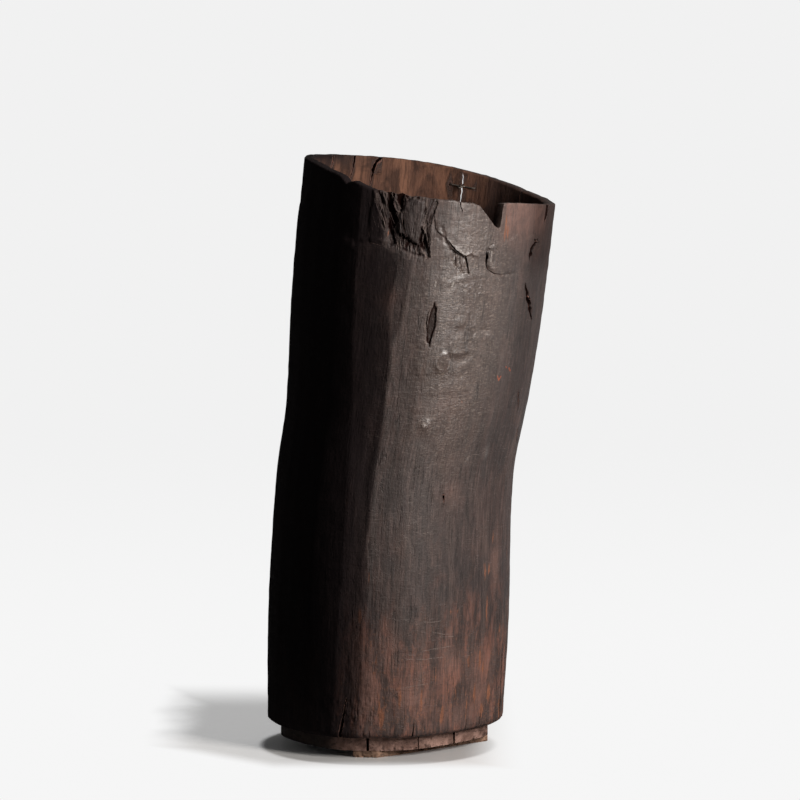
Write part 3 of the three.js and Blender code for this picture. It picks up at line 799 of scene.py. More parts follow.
def chips(across, up, width, length, seed):
    """Flat tilted chips, about 0 to 1 deep, each about as wide and long as given."""
    draws = np.random.default_rng(seed).random((CHIP_TABLE, CHIP_TABLE, 5))
    column, row = np.floor(across / width).astype(int), np.floor(up / length).astype(int)
    nearest = np.full(across.shape, 9.0)
    level = np.zeros(across.shape)
    for beside, above in np.ndindex(3, 3):
        cell_column, cell_row = column + beside - 1, row + above - 1
        draw = draws[cell_column % CHIP_TABLE, cell_row % CHIP_TABLE]
        off_across = across / width - cell_column - draw[..., 0]
        off_up = up / length - cell_row - draw[..., 1]
        distance = np.hypot(off_across, off_up)
        tilted = draw[..., 2] + (draw[..., 3] - 0.5) * off_across + (draw[..., 4] - 0.5) * off_up
        level = np.where(distance < nearest, tilted, level)
        nearest = np.minimum(nearest, distance)
    return level


def spot(x, y, at, height, width, length):
    """A soft oval spot: 1 in its middle."""
    across = x - math.radians(at) * SHEET_RADIUS
    return hill(np.hypot(across / (width * MM), (y - height * MM) / (length * MM)), 0.42)


# %% [markdown]
# ### Long faces left by the adze
# A hewn face is flat, so between two edges the outside follows a straight line instead of the round. At the
# front left three such edges run down the stem and close in on each other, and the last of them stands
# proud of a shallow groove. The broad front face is round and worn smooth.

# %% The hewn faces
# How flat the face to the right of an edge is, and the edge's path in (millimetres up, degrees)
EDGES = (
    (0.7, ((0, -178), (640, -176))),
    (0.6, ((0, -163), (300, -160), (640, -163))),
    (0.8, ((0, -148), (640, -151))),
    (0.7, ((0, -134), (320, -131), (640, -137))),
    (1.0, ((22, -117), (229, -114), (271, -113), (343, -117), (412, -119.5), (453, -121), (640, -123))),
    (1.0,
     ((0, -105), (100, -102.5), (168, -103), (230, -102.8), (271, -101.6), (344, -101.7), (375, -102.2),
      (406, -101.9), (426, -102.2), (442, -102.8), (457, -103.4), (478, -103.5), (498, -102), (514, -100),
      (640, -96))),
    (1.0,
     ((0, -104.4), (100, -101.8), (168, -102.4), (230, -102.1), (271, -101), (344, -101), (375, -101.5),
      (406, -101), (426, -101), (442, -99.5), (457, -97), (478, -96.2), (514, -95.4), (640, -93.5))),
    (0.0,
     ((0, -84), (230, -85), (271, -87), (326, -90), (344, -87), (403, -88), (473, -89), (507, -89),
      (640, -86))),
    (0.4, ((0, -40), (640, -36))),
    (0.5, ((0, -14), (640, -15))),
    (0.6, ((0, 4), (640, 2))),
    (0.6, ((0, 24), (640, 21))),
    (0.7, ((0, 42), (640, 45))),
    (0.6, ((0, 66), (640, 62))),
    (0.7, ((0, 84), (640, 86))),
    (0.5, ((0, 104), (640, 107))),
    (0.6, ((0, 128), (640, 126))),
    (0.7, ((0, 147), (640, 149))),
    (0.7, ((0, 165), (640, 163))),
)
MAIN_EDGE = 5


def edge_angle(number, z):
    heights, angles = zip(*EDGES[number % len(EDGES)][1])
    return np.interp(z / MM, heights, angles)


def hewn_faces(angle, z):
    """How far the faces cut into the round, and 1 along the edges between them."""
    turned = turn_between(angle + 0.7 * rough(drawn_out(log_points, 0.25), 28, 2, seed=1.0), 0.0)
    cut = np.zeros_like(angle)
    edge = np.zeros_like(angle)
    for number, (flatness, _) in enumerate(EDGES):
        start = edge_angle(number, z)
        half = np.maximum((edge_angle(number + 1, z) - start) % 360 / 2, 0.05)
        off = turn_between(turned, start + half)
        here = np.abs(off) <= half
        sag = 1 - np.cos(np.radians(half)) / np.cos(np.radians(np.clip(off, -half, half)))
        cut[here] += (flatness * sag * SHEET_RADIUS)[here]
        if flatness:
            edge = np.maximum(edge, hill(turn_between(turned, start), 0.7))
    beside = np.radians(turn_between(turned, edge_angle(MAIN_EDGE, z))) * SHEET_RADIUS
    groove = smooth(z, 0.23, 0.28) * smooth(z, 0.38, 0.34)
    lip = smooth(z, 0.10, 0.20) * smooth(z, 0.47, 0.42)
    sunk = 0.7 * hill(beside + 8.5 * MM, 3.5 * MM) * groove
    proud = 0.45 * hill(beside - 1.5 * MM, 3.0 * MM) * lip
    cut += (sunk - proud) * MM
    return cut, edge


# %% [markdown]
# ### Layers torn off and layers left
# The outlines are read off the photograph and placed on the sheet. Each has a depth in
# millimetres, where minus stands for proud, and the width of the slope at its edge.

# %% The outlines, in (degrees, millimetres up)
TORN = ((-118, 640), (-115.4, 590), (-113, 571), (-110.6, 553), (-109, 540), (-110, 533), (-106, 525),
        (-101, 521), (-95, 516), (-89.5, 517), (-87, 524), (-88, 539), (-89, 555), (-86.5, 573), (-85, 640))
TORN_FOOT = ((-109, 540), (-110, 533), (-106, 525), (-101, 521), (-95, 516), (-89.5, 517), (-87, 524))
GREY_PATCH = ((-85, 640), (-86.5, 578), (-87, 565), (-86, 552), (-83.5, 545), (-80.5, 541), (-78, 533),
              (-75, 528), (-72, 524), (-69.5, 522), (-66.5, 524), (-62, 520), (-58, 524), (-56.5, 528),
              (-50, 528), (-48, 537), (-49, 545), (-52, 551), (-58, 566), (-64, 640))
LIP = ((-80.5, 541), (-78, 533), (-75, 528), (-72, 524), (-69.5, 522), (-66.5, 524), (-62, 520))
OUTER_LAYER_GONE = ((-190, 640), (-186, 572), (-181, 566), (-176, 566), (-173, 568), (-166, 583),
                    (-158, 566), (-150.5, 550), (-139.5, 536), (-129, 540), (-123, 533), (-116, 536),
                    (-116, 640))
RECESS = ((-78, 531), (-75, 526.5), (-72, 523), (-69.5, 521), (-68.2, 516), (-66.3, 503.5), (-68.5, 505),
          (-71.5, 506), (-74.5, 512), (-77.5, 521))
PANEL = ((-46.8, 640), (-46.5, 573), (-45, 553), (-44, 541), (-43.5, 535.5), (-40.5, 536), (-36, 541),
         (-28, 536), (-20, 541), (-13.4, 538), (-13.2, 640))
BLOCK = ((-102.5, 566), (-101, 577), (-97, 583), (-93, 578), (-91.8, 562), (-92.5, 546), (-93.5, 534),
         (-98, 540), (-102, 546), (-103, 558))
BLOCK_FOOT = ((-102.3, 545), (-98, 539), (-94.6, 534))
POCKET = ((-83.0, 475), (-84.3, 465), (-85.2, 452), (-85.0, 440), (-83.6, 429), (-82.4, 440), (-81.3, 455),
          (-81.6, 467))
OUTLINES = (
    (GREY_PATCH, -0.8, 1.2),
    (BLOCK, -1.1, 2.4),
    (PANEL, 0.7, 2.0),
    (POCKET, 1.8, 1.4),
    (((-111, 640), (-110, 575), (-108.5, 565), (-108.5, 553), (-106.5, 547), (-104.5, 554), (-105.5, 566),
      (-106.5, 576), (-107, 640)), 2.8, 1.6),
    (((-105.5, 640), (-105.2, 581), (-103.7, 573), (-101.8, 576), (-101.6, 640)), 4.4, 1.2),
    (((-107.4, 640), (-105.2, 580), (-103.6, 573), (-103.4, 566), (-105.6, 571), (-108, 582), (-109, 640)),
     -1.6, 1.0),
    (((-108.5, 553), (-107.5, 541), (-106, 532), (-104, 536), (-105, 547), (-106, 552)), 3.0, 1.4),
    (((-92.5, 553), (-90.2, 543), (-88.2, 531), (-86.8, 522), (-88.6, 521), (-90.8, 529), (-93.2, 540)),
     3.2, 1.4),
    (((-55.8, 529), (-53.0, 532), (-51.0, 525), (-51.2, 512), (-53.0, 507.5), (-55.2, 511)), -0.6, 2.4),
    (((-13.2, 640), (-13.4, 552), (-10, 548), (-4, 551), (-2, 640)), -0.4, 1.4),
)
# A path, millimetres deep, and how wide
GROOVES = (
    (((-56.8, 527), (-56.4, 515), (-55, 508), (-52, 503.5), (-48, 501), (-43.5, 500), (-36, 501)), 1.0,
     1.3),
    (((-43.5, 499.5), (-35, 501), (-24, 503)), 0.5, 3.0),
    (BLOCK_FOOT, 2.6, 1.2),
    (((-100, 531), (-96, 526), (-91, 523)), 1.4, 1.2),
    (((-119.5, 539), (-113, 540), (-108.5, 537)), -0.9, 1.6),
    (((-70, 421.5), (-66, 421), (-62.5, 423)), -0.7, 1.8),
    (((-72, 415), (-67, 413.5), (-63, 415.5)), 1.0, 3.4),
    (((-78, 397), (-70, 397), (-62, 402)), 0.6, 6.0),
    (((-86.5, 556), (-85.5, 546), (-83.5, 540)), 0.5, 1.8),
    (((-83.2, 552), (-81.2, 541), (-80, 536)), 0.7, 1.2),
    (((-75.6, 521), (-74.4, 512), (-73, 507)), 0.8, 0.9),
    (((-72.6, 519), (-71.6, 511), (-70.4, 505)), 1.0, 0.9),
    (LIP, -0.5, 0.9),
    (((-74, 497), (-68.5, 500), (-63.5, 502), (-55, 501), (-48, 497)), -0.28, 2.4),
    (((-68, 446), (-60, 443), (-54, 446), (-50, 441)), 0.9, 3.0),
    (((-101.5, 230), (-102.4, 200), (-102, 176), (-103, 150)), 0.9, 1.6),
    (((-99, 180), (-100.5, 140), (-102, 104)), 0.7, 1.6),
)
# A groove deeper than this, in millimetres, is painted dark inside as shade
SHADED_GROOVE_DEPTH = 1.15
# Where the painted shade of the left side begins, and where it is darkest: (millimetres up, degrees)
SHADE_BORDER = ((0, -103.5), (65, -101.5), (107, -99.5), (147, -100.5), (189, -102), (230, -102.3),
               (271, -101), (312, -100.7), (344, -101), (375, -101.5), (406, -101), (426, -101),
               (442, -101.6), (457, -103.4), (478, -103.6), (498, -102), (511, -100.5), (522, -104),
               (540, -109), (553, -110.4), (571, -112.8), (590, -115), (640, -118))
DARKEST_SHADE_BORDER = ((0, -118), (100, -114.5), (229, -112.5), (271, -113), (343, -117), (412, -119.5),
                (453, -121), (520, -122), (536, -118), (542, -110), (553, -111.4), (571, -113.6),
                (590, -116), (640, -119))
# Degrees, millimetres up, millimetres wide and high, and millimetres proud
KNOTS = (
    (-75.8, 413, 9, 13, 4.4), (-73.5, 415, 32, 34, 0.9), (-80.5, 348.5, 8, 7, 1.6), (-80, 347, 18, 14, 0.7),
    (-85.5, 365, 3.5, 3.5, 0.7), (-49.5, 308, 7, 4, 0.9), (-35, 313, 6, 5, 1.1), (-68, 452, 12, 9, 0.8),
    (-62, 447, 14, 8, 0.9), (-54.5, 442, 9, 6, -0.8), (-48.5, 437, 9, 6, 0.9), (-57, 436, 10, 6, 0.8),
    (-62, 423, 6, 4, 0.5),
)
DENTS = (
    (-60, 240, 60, 40, 0.7), (-30, 300, 30, 60, 0.8), (-52, 400, 16, 34, 0.5), (-38, 440, 12, 30, 0.4),
    (-66, 300, 30, 24, 0.6), (-45, 180, 26, 40, 0.5), (-76, 180, 20, 30, 0.5), (-82, 150, 16, 18, 0.7),
    (-58, 470, 26, 16, 0.5), (-30, 470, 16, 20, 0.6), (-20, 515, 14, 14, 0.7), (-90, 400, 14, 60, 0.5),
)


# %% Carve the outside and paint what was torn or darkened
def torn_relief(angle, z):
    """Chips and fibres of torn wood, whose grain leans left on the left and right on the right."""
    lean = np.interp(angle, (-116, -104, -96, -87), (0.42, 0.40, 0.0, -0.35))
    across = np.radians(angle + 100) * SHEET_RADIUS + (z - 560 * MM) * lean
    big = chips(across, z, 4.2 * MM, 24 * MM, 4)
    small = chips(across, z, 1.7 * MM, 9 * MM, 5)
    fibres = rough(np.stack([across, np.zeros_like(z), z * 0.06], axis=-1), 620, 2, seed=5.0)
    return big, small, fibres


def carve(angle, z, points):
    """Depth into the wood at every point, and the paint, painted shade among it."""
    ragged = rough(points, 150, 4) * 1.2 * MM
    x = np.radians(angle) * SHEET_RADIUS + ragged
    y = z + 0.6 * ragged
    plain_x = np.radians(angle) * SHEET_RADIUS + 0.3 * ragged
    uneven = rough(drawn_out(points, 0.4), 75, 3, seed=7.0) * 4 * MM
    cut, edge = hewn_faces(angle, z)
    torn = within(TORN, x + 0.5 * uneven, y + uneven, 2.5 * MM)
    torn_foot = smooth(distance_to(TORN_FOOT, x, y) + uneven, 1 * MM, 16 * MM)
    big, small, fibres = torn_relief(angle, z)
    upright = rough(drawn_out(points, 0.06), 460, 3, seed=2.0)
    pitted = rough(points, 240, 4, seed=3.0)
    lumps = rough(points, 70, 3, seed=4.0)

    before = cut.copy()
    chipped = torn * (0.16 + 0.84 * torn_foot) * (1 - 0.5 * smooth(angle, -96, -91))
    cut += within(OUTER_LAYER_GONE, x + uneven, y + uneven, 7 * MM) * 1.3 * MM
    for outline, depth, slope in OUTLINES:
        cut += within(outline, x, y, slope * MM) * depth * MM
    block = within(BLOCK, x, y, 3.0 * MM)
    cut += chipped * (0.8 + (2.0 * big + 1.5 * small + 0.45 * fibres) * (1 - 0.65 * block)) * MM
    lip = distance_to(RECESS[:6], plain_x, z)
    recess = within(RECESS, plain_x, z, 0.9 * MM)
    cut += recess * (0.9 + 1.3 * smooth(lip, 8 * MM, 1 * MM) + 0.7 * upright) * MM
    block_foot = distance_to(BLOCK_FOOT, x, y)
    cut += torn * smooth(z, 543 * MM, 533 * MM) * smooth(block_foot, 12 * MM, 1 * MM) * 1.4 * MM
    torn_depth = cut - before
    for path, depth, width in GROOVES:
        cut += hill(distance_to(path, x, y), width * MM) * depth * MM
    for *place, proud in KNOTS:
        cut -= spot(x, y, *place) * proud * MM
    for *place, depth in DENTS:
        cut += spot(x, y, *place) * depth * MM

    mottled = np.clip(spot(x, y, -62, 448, 44, 26) + 0.6 * spot(x, y, -66, 486, 60, 24) + 0.5 * torn, 0, 1)
    cut += (0.5 * mottled * pitted + 0.35 * lumps * (1 - torn)) * MM
    corner = smooth(np.abs(turn_between(angle, -104)), 12, 5) * smooth(z, 250 * MM, 130 * MM)
    cut += corner * (0.5 * pitted + 0.4 * np.abs(upright)) * MM
    cut += smooth(z, 110 * MM, 25 * MM) * (0.35 * np.abs(upright) + 0.25 * pitted) * MM
    shoulder = np.clip(1 - (z - FOOT) / FOOT_ROUND, 0, 1)
    rounding = FOOT_ROUND * 0.8 * (1 - np.sqrt(1 - shoulder ** 2 * 0.98))
    cut += rounding + 0.9 * MM * shoulder * np.abs(lumps + pitted)

    deep = smooth(torn_depth, 3.0 * MM, 5.6 * MM)
    raw = torn * smooth(small + 0.5 * fibres, 0.85, 0.2) * (1 - 0.8 * deep)
    raw = raw * (0.35 + 0.6 * torn_foot) * (1 - 0.8 * block)
    raw += 0.3 * hill(distance_to(LIP, x, y), 1.1 * MM) + 0.25 * recess * smooth(upright, 0.4, -0.2)
    pocket = within(POCKET, x, y, 1.0 * MM)
    pocket_line = distance_to(POCKET, plain_x, z, closed=True)
    pocket_edge = hill(pocket_line, 0.7 * MM)
    raw += 0.5 * hill(pocket_line - 1.8 * MM, 0.7 * MM) * (1 - pocket)
    # Dark paint, dirt together with painted shade: in the deep torn places, under the recess's lip, in the
    # pocket and its edge, and on the crusty corner.
    grime = torn * (0.85 * deep + 0.5 * smooth(small, 0.6, 1.0) + 0.34 * torn_foot) * (1 - 0.5 * block)
    grime += recess * (0.20 + 0.45 * smooth(lip, 4 * MM, 0.5 * MM)) * smooth(upright, -0.3, 0.4)
    grime += pocket * 0.7 + 0.5 * pocket_edge + corner * smooth(pitted, 0.3, 0.9) * 0.4
    # The right side is painted darker, most of all high up: a painted shade.
    shaded_right_side = smooth(angle, -34, -20) * (0.28 * smooth(z, 0.33, 0.40) + 0.26 * smooth(z, 0.47, 0.52))
    grime += shaded_right_side + 0.12 * smooth(angle, -52, -38) * smooth(z, 0.36, 0.42)
    # Grooves deeper than the given depth are painted dark inside: a painted shade.
    deep_grooves = [(path, width) for path, depth, width in GROOVES if depth > SHADED_GROOVE_DEPTH]
    grooved = sum(hill(distance_to(path, x, y), width * 0.7 * MM) for path, width in deep_grooves)
    grime += 0.55 * np.clip(grooved, 0, 1)
    panel = within(PANEL, x, y, 7 * MM)
    # Painted shade: the left side is painted near black from its border on, and darkest past the second
    # border. The high faces left of the next edge get a lighter painted shade, and torn wood gets less of it.
    border = np.interp(z / MM, *zip(*SHADE_BORDER)) + np.degrees(0.5 * uneven / SHEET_RADIUS)
    black = np.interp(z / MM, *zip(*DARKEST_SHADE_BORDER)) + np.degrees(uneven / SHEET_RADIUS)
    soft = 0.7 + 6.0 * smooth(z, 0.20, 0.13)
    painted_shade = smooth(angle, border + soft, border - soft) * (0.76 + 0.15 * smooth(border - angle, 1, 14))
    painted_shade += (1 - painted_shade) * 0.9 * smooth(angle, black + 2.5, black - 2.5)
    shaded_facet = smooth(angle, edge_angle(MAIN_EDGE + 1, z) + 0.8, edge_angle(MAIN_EDGE + 1, z) - 0.8)
    painted_shade = np.maximum(painted_shade, 0.38 * shaded_facet * smooth(z, 0.42, 0.44))
    painted_shade = painted_shade * (1 - 0.6 * torn) * smooth(angle, -246, -205)
    return cut, {"raw": raw, "grime": grime, "edge": edge, "corner": corner, "panel": panel, "painted_shade": painted_shade}


cut, masks = carve(angle, z, log_points)
print("carved up to", round(float(cut.max()) / MM, 1), "mm deep and",
      round(float(-cut.min()) / MM, 1), "mm proud")

# %% [markdown]
# The hollow keeps the marks of the gouge: shallow scoops one above the other. The wall is never carved
# thinner than a few millimetres, because the rim would break off.

# %% The inside, the paint and the rolled wall
RUBBED = (
    (-35.8, 391, 3.0, 4.5), (-28, 399, 2.5, 3.5), (-31, 402, 2, 2), (-61.5, 370, 5, 2), (-40, 328, 4, 2),
    (-105, 478, 2.5, 3), (-113.5, 268, 2.5, 16), (-113, 240, 4, 14), (-28.5, 187, 6, 16),
    (-24.5, 190, 3, 9), (-40, 94, 6, 10), (-27.5, 86, 7, 14), (-7.5, 33, 5, 16), (-26, 150, 2, 30),
    (-30, 96, 3, 22), (-21, 61, 7, 26), (-33, 60, 3, 26), (-40, 52, 4, 24), (-27, 40, 10, 14),
    (-9, 40, 4, 24), (-14, 110, 4, 30), (-64, 88, 4, 26), (-72, 60, 5, 26), (-83, 70, 4, 30),
    (-92, 50, 6, 34), (-96, 100, 3, 30), (-58, 44, 6, 18), (-49, 62, 4, 16), (-22, 230, 3, 26),
    (-52, 150, 12, 8), (-45.8, 552, 3.0, 24), (-44.0, 543, 7.0, 16), (-101, 190, 3, 20), (-104, 150, 3, 18),
    (-77, 128, 5, 16), (-107.6, 546, 1.6, 8), (-12.6, 560, 1.6, 22), (-106, 546, 1.4, 9),
)
# Skin worn to a warm red
BLUSHES = (
    (-30, 570, 60, 60, 0.9), (-105, 478, 20, 14, 0.5), (-100, 75, 26, 60, 0.7), (-78, 62, 40, 34, 0.6),
    (-55, 95, 40, 40, 0.45), (-30, 70, 40, 60, 0.6), (-48, 40, 46, 22, 0.5), (-20, 200, 14, 60, 0.5),
    (-90, 120, 22, 34, 0.4), (-70, 370, 26, 20, 0.25), (-60, 275, 30, 22, 0.3), (-106, 120, 12, 60, 0.6),
)
# Knots that many hands have rubbed to a shine
WAXED = ((-75.2, 415, 12, 16, 1.1), (-80.5, 350, 12, 10, 0.8), (-49.5, 309, 9, 6, 0.8),
         (-35, 314, 9, 7, 0.8))


PROUDEST = 1.8 * MM
THINNEST_WALL = 2 * RIM_ROUND + 1.5 * MM
SUNK_BELOW_CAD = 0.25 * MM
BOX_MARGIN = 0.05 * MM


def gouge_marks(points):
    return 0.8 * MM * rough(drawn_out(points, 0.3), 60, 3, seed=8.0)


x, y = np.radians(angle) * SHEET_RADIUS, z
wall = wall_thickness(z)
outer = np.clip(1 - crossed * 1.6, 0, 1)
keep = np.clip(cut, -PROUDEST, wall - THINNEST_WALL)
depth = set_in + outer * (keep + SUNK_BELOW_CAD) + crossed * (wall + gouge_marks(log_points))
streaks = rough(drawn_out(log_points, 0.12), 260, 3, seed=6.0)
rubbed = sum(spot(x + 3 * MM * streaks, y, *place) for place in RUBBED) * smooth(streaks, -0.7, 0.5)
rubbed += 0.3 * masks["edge"] * smooth(z, 0.26, 0.05) * smooth(streaks, 0, 0.5)
blush = sum(share * spot(x, y, *place) for *place, share in BLUSHES)
blush += masks["panel"] * 0.6 * smooth(z, 0.535, 0.56)
# Where hands and wax have polished the wood: it is less rough there and also painted lighter as a highlight.
polish_and_highlight = np.clip(1.4 * spot(x, y, -62, 458, 92, 200) + 0.22 * spot(x, y, -80, 300, 100, 420), 0, 1)
polish_and_highlight += sum(share * spot(x, y, *place) for *place, share in WAXED)
top = smooth(below_lip, 3 * MM, 0)
# Painted shade in the hollow: its right part and its lower part are painted dark.
right_inside = smooth(angle, 74, 48) * smooth(angle, -70, -50)
hollow_shade = np.clip(0.66 * right_inside + 0.35 * smooth(z, 0.575, 0.545), 0, 0.9)
# The left side's painted shade runs over the rim, but not down into the hollow.
rim_shade = masks["painted_shade"] * (1 - smooth(crossed, 0.7, 1.0) * smooth(below_lip, 0.5 * MM, 3 * MM))
outside = 1 - smooth(crossed, 0.2, 0.7)
add_paint(band, {
    "inside": smooth(crossed, 0.3, 1.0),
    "raw": np.clip(masks["raw"], 0, 1) * outside + 0.2 * top,
    "rubbed": np.clip(rubbed, 0, 1) * outside,
    "blush": np.clip(blush, 0, 1) * outside,
    "painted_shade": np.maximum(rim_shade, hollow_shade * (1 - outside)),
    "grime": np.clip(masks["grime"], 0, 1) * outside,
    "polish_and_highlight": polish_and_highlight * (1 - masks["corner"]) * outside,
})
for name in KEPT:
    band.attributes.remove(band.attributes[name])
band.vertices.foreach_set("co", unroll(angle, depth, z).astype(np.float32).ravel())
trunk = grow("hollowed_trunk", band, rolling_tree("roll_onto_stem", trunk_material), STEM)
weathered = {"Lump depth": 0.5 * MM, "Ridge depth": 0.22 * MM, "Grain depth": 0.12 * MM, "Seed": 3.0}
rolled_mesh = trunk.data
bpy.data.objects.remove(trunk)
trunk = grow("hollowed_trunk", rolled_mesh, weathering_tree("weather", trunk_material), weathered)
reach = np.zeros(len(trunk.data.vertices) * 3, dtype=np.float32)
trunk.data.vertices.foreach_get("co", reach)
reach = reach.reshape(-1, 3)
inside_box = np.clip(reach, np.array(cad_box[0]) + BOX_MARGIN, np.array(cad_box[1]) - BOX_MARGIN)
trunk.data.vertices.foreach_set("co", inside_box.astype(np.float32).ravel())
print("trunk wall:", triangle_count(trunk), "triangles, kept in the box by up to",
      round(float(np.abs(inside_box - reach).max()) / MM, 2), "mm")

# %% [markdown]
# ## Cracks
# A crack could be a dark line in the material, but a real one has sides, and daylight shows through the one
# that the wire holds. So each crack is a thin blade along a path, and a Boolean cuts them all out at once.

# %% The cracks' paths
# Outside: (degrees, millimetres up) from one end to the other, the widest gap, and how deep it runs
OUTSIDE_CRACKS = (
    (((-18.8, 536), (-20.4, 531), (-22.8, 526.5), (-23.4, 522), (-24.2, 512)), 9.5, 9),
    (((-22.4, 534.5), (-17.6, 530.5)), 8.0, 7),
    (((-25.4, 490), (-24.4, 484), (-22.6, 479.5), (-21.6, 472), (-19.4, 467), (-18.2, 460), (-15.4, 449)),
     8.5, 9),
    (((-22.2, 476), (-19.0, 471)), 3.5, 6),
    (((-12.6, 578), (-13.2, 562), (-14.2, 546)), 9.0, 7),
    (((-75.8, 584), (-75.2, 576), (-73.6, 566)), 1.5, 6),
    (((-57.0, 529), (-56.6, 520), (-56.1, 511), (-54.6, 505.5)), 3.6, 8),
    (((-55.8, 510.5), (-53.6, 505.6), (-50.2, 502.2), (-45, 500.4), (-37, 501)), 2.6, 6),
    (((-9.5, 96), (-8, 66), (-6.8, 40), (-5.5, 16)), 3.6, 8),
    (((-110, 64), (-111.6, 44), (-113.8, 16)), 6.5, 10),
    (((-75.4, 38), (-76.4, 16)), 3.0, 7),
    (((-39.2, 34), (-40, 16)), 2.8, 7),
    (((-27.2, 38), (-27.8, 16)), 2.8, 7),
    (((-18.2, 379), (-16, 366), (-14.2, 357)), 1.4, 3),
    (((-8.5, 333), (-6.5, 326), (-4.5, 318)), 1.6, 3),
    (((-5.8, 210), (-6.2, 194)), 1.4, 4),
    (((-63.4, 274), (-62.4, 268)), 3.6, 5),
    (((-117.6, 537), (-112, 534), (-106, 531)), 1.6, 4),
    (((-101.5, 569), (-101, 556), (-98.5, 541)), 2.0, 8),
    (((-90.6, 566), (-89.6, 548), (-87.6, 528)), 1.8, 6),
    (((-79.4, 539), (-77.4, 533), (-75, 528.4), (-72.6, 524.6), (-70.6, 522.6)), 2.4, 5),
    (((-72.4, 524), (-69.4, 521.6), (-68.4, 516), (-66.8, 505)), 1.7, 5),
    (((-85.0, 470), (-85.8, 455), (-84.6, 437)), 1.5, 3),
    (((-81.8, 466), (-81.4, 455), (-82.6, 440)), 1.5, 3),
)
# In the hollow, from above the rim downwards
HOLLOW_CRACKS = (
    (((149, 622), (149.6, 610), (151, 601)), 3.6, 5),
    (((134.4, 622), (135, 604), (136.6, 588)), 3.8, 6),
    (((117.6, 620), (118.6, 611), (121.4, 606), (122.4, 600), (123.6, 583)), 7.5, 8),
    (((38, 610), (37, 560)), 1.6, 5),
)
# A crack that reaches above the first height is widest at the rim, and one below the second at the foot
NEAR_RIM, NEAR_FOOT = 573, 20
# The crack that the wire ties: degrees, then millimetres
CRACK_AT = 72
CRACK_TOP = 594.6
CRACK_FOOT = 559
CRACK_WIDTH = 1.35


# %% Blades for the cracks
BLADE_LEVELS = 7
BLADE_STEP = 1.6 * MM
OVERSHOOT = 4 * MM


def tube_faces(stations, around):
    """The faces of a closed tube: its sides, ring by ring, and its two ends."""
    faces = []
    for start in range(0, (stations - 1) * around, around):
        above = start + around
        for corner in range(around):
            following = (corner + 1) % around
            faces.append((start + corner, start + following, above + following, above + corner))
    last = (stations - 1) * around
    return faces + [tuple(range(around))[::-1], tuple(range(last, last + around))]


def blade(path, width, near, far, taper, seed):
    """A closed blade along a path, open at depth near and thin at depth far."""
    path = np.array(path, dtype=float)
    lengths = np.hypot(np.diff(np.radians(path[:, 0])) * SHEET_RADIUS, np.diff(path[:, 1]) * MM)
    run = np.concatenate([[0], np.cumsum(lengths)])
    count = max(6, int(run[-1] / BLADE_STEP))
    at = np.linspace(0, run[-1], count)
    share = at / run[-1]
    jitter = np.array([noise.noise((seed * 5.1, place * 260, 0.0)) for place in at])
    angles = np.interp(at, run, path[:, 0]) + 0.35 * jitter * min(1, width)
    heights = np.interp(at, run, path[:, 1]) * MM
    half = width * MM / 2 * (0.12 + 0.88 * taper(share)) * (1 + 0.7 * jitter)
    half_angle = np.degrees(half / SHEET_RADIUS)
    deepest = near + (far - near) * (0.35 + 0.65 * taper(share))
    down = [(-1, part) for part in np.linspace(0, 1, BLADE_LEVELS)]
    down += [(1, part) for _, part in down[::-1]]
    ring = [unroll(angles + side * half_angle * (1 - 0.65 * part), near + (deepest - near) * part, heights)
            for side, part in down]
    return np.stack(ring, axis=1).reshape(-1, 3), tube_faces(count, len(ring))


def widest_in_the_middle(share):
    return np.sin(np.pi * share) ** 0.7


def widest_at_the_start(share):
    return 1 - share ** 1.5


def widest_at_the_end(share):
    return 0.25 + 0.75 * share ** 1.3


def joined(parts):
    points, faces, offset = [], [], 0
    for part_points, part_faces in parts:
        points.append(part_points)
        faces += [tuple(index + offset for index in face) for face in part_faces]
        offset += len(part_points)
    return np.concatenate(points), faces


def crack_blades():
    blades = []
    for number, (path, width, deep) in enumerate(OUTSIDE_CRACKS):
        heights = [height for _, height in path]
        taper = widest_in_the_middle
        if max(heights) > NEAR_RIM:
            taper = widest_at_the_start
        elif min(heights) < NEAR_FOOT:
            taper = widest_at_the_end
        blades.append(blade(path, width, -3 * MM, deep * MM, taper, number))
    for number, (path, width, deep) in enumerate(HOLLOW_CRACKS):
        near = WALL_AT_MOUTH + 2.5 * MM
        blades.append(blade(path, width, near, WALL_AT_MOUTH - deep * MM, widest_at_the_start, 40 + number))
    return blades


blades = crack_blades()
print("crack blades:", len(blades))

# %% [markdown]
# ### The tied crack
# This one runs right through the wall from front to back, so that daylight shows through it. The wire, which
# climbs to the left, goes through a hole on either side of it. Each hole is a short eight-sided rod.

# %% The through crack and the wire's holes
WIRE_DIAMETER = 1.6 * MM
WIRE_DOWN = 17 * MM
WIRE_SPAN = 27 * MM
WIRE_TILT = 0.16
HOLE_CLEARANCE = 0.7 * MM
wire_middle = float(mouth_height(CRACK_AT)) - WIRE_DOWN
hollow_radius = float(stem_radius(CRACK_AT, wire_middle, STEM) - wall_thickness(wire_middle))


def round_crack(length):
    """The degrees that a length takes up round the hollow, beside the crack."""
    return math.degrees(length / hollow_radius)


def wire_height(angle):
    return wire_middle + WIRE_TILT * hollow_radius * math.radians(angle - CRACK_AT)


def front_to_back(depth):
    """The degrees that a cut from the front has gone round when it comes to a depth in the wall."""
    from_hollow = float(wall_thickness(wire_middle)) - depth
    return math.degrees(from_hollow / math.tan(math.radians(CRACK_AT)) / SHEET_RADIUS)


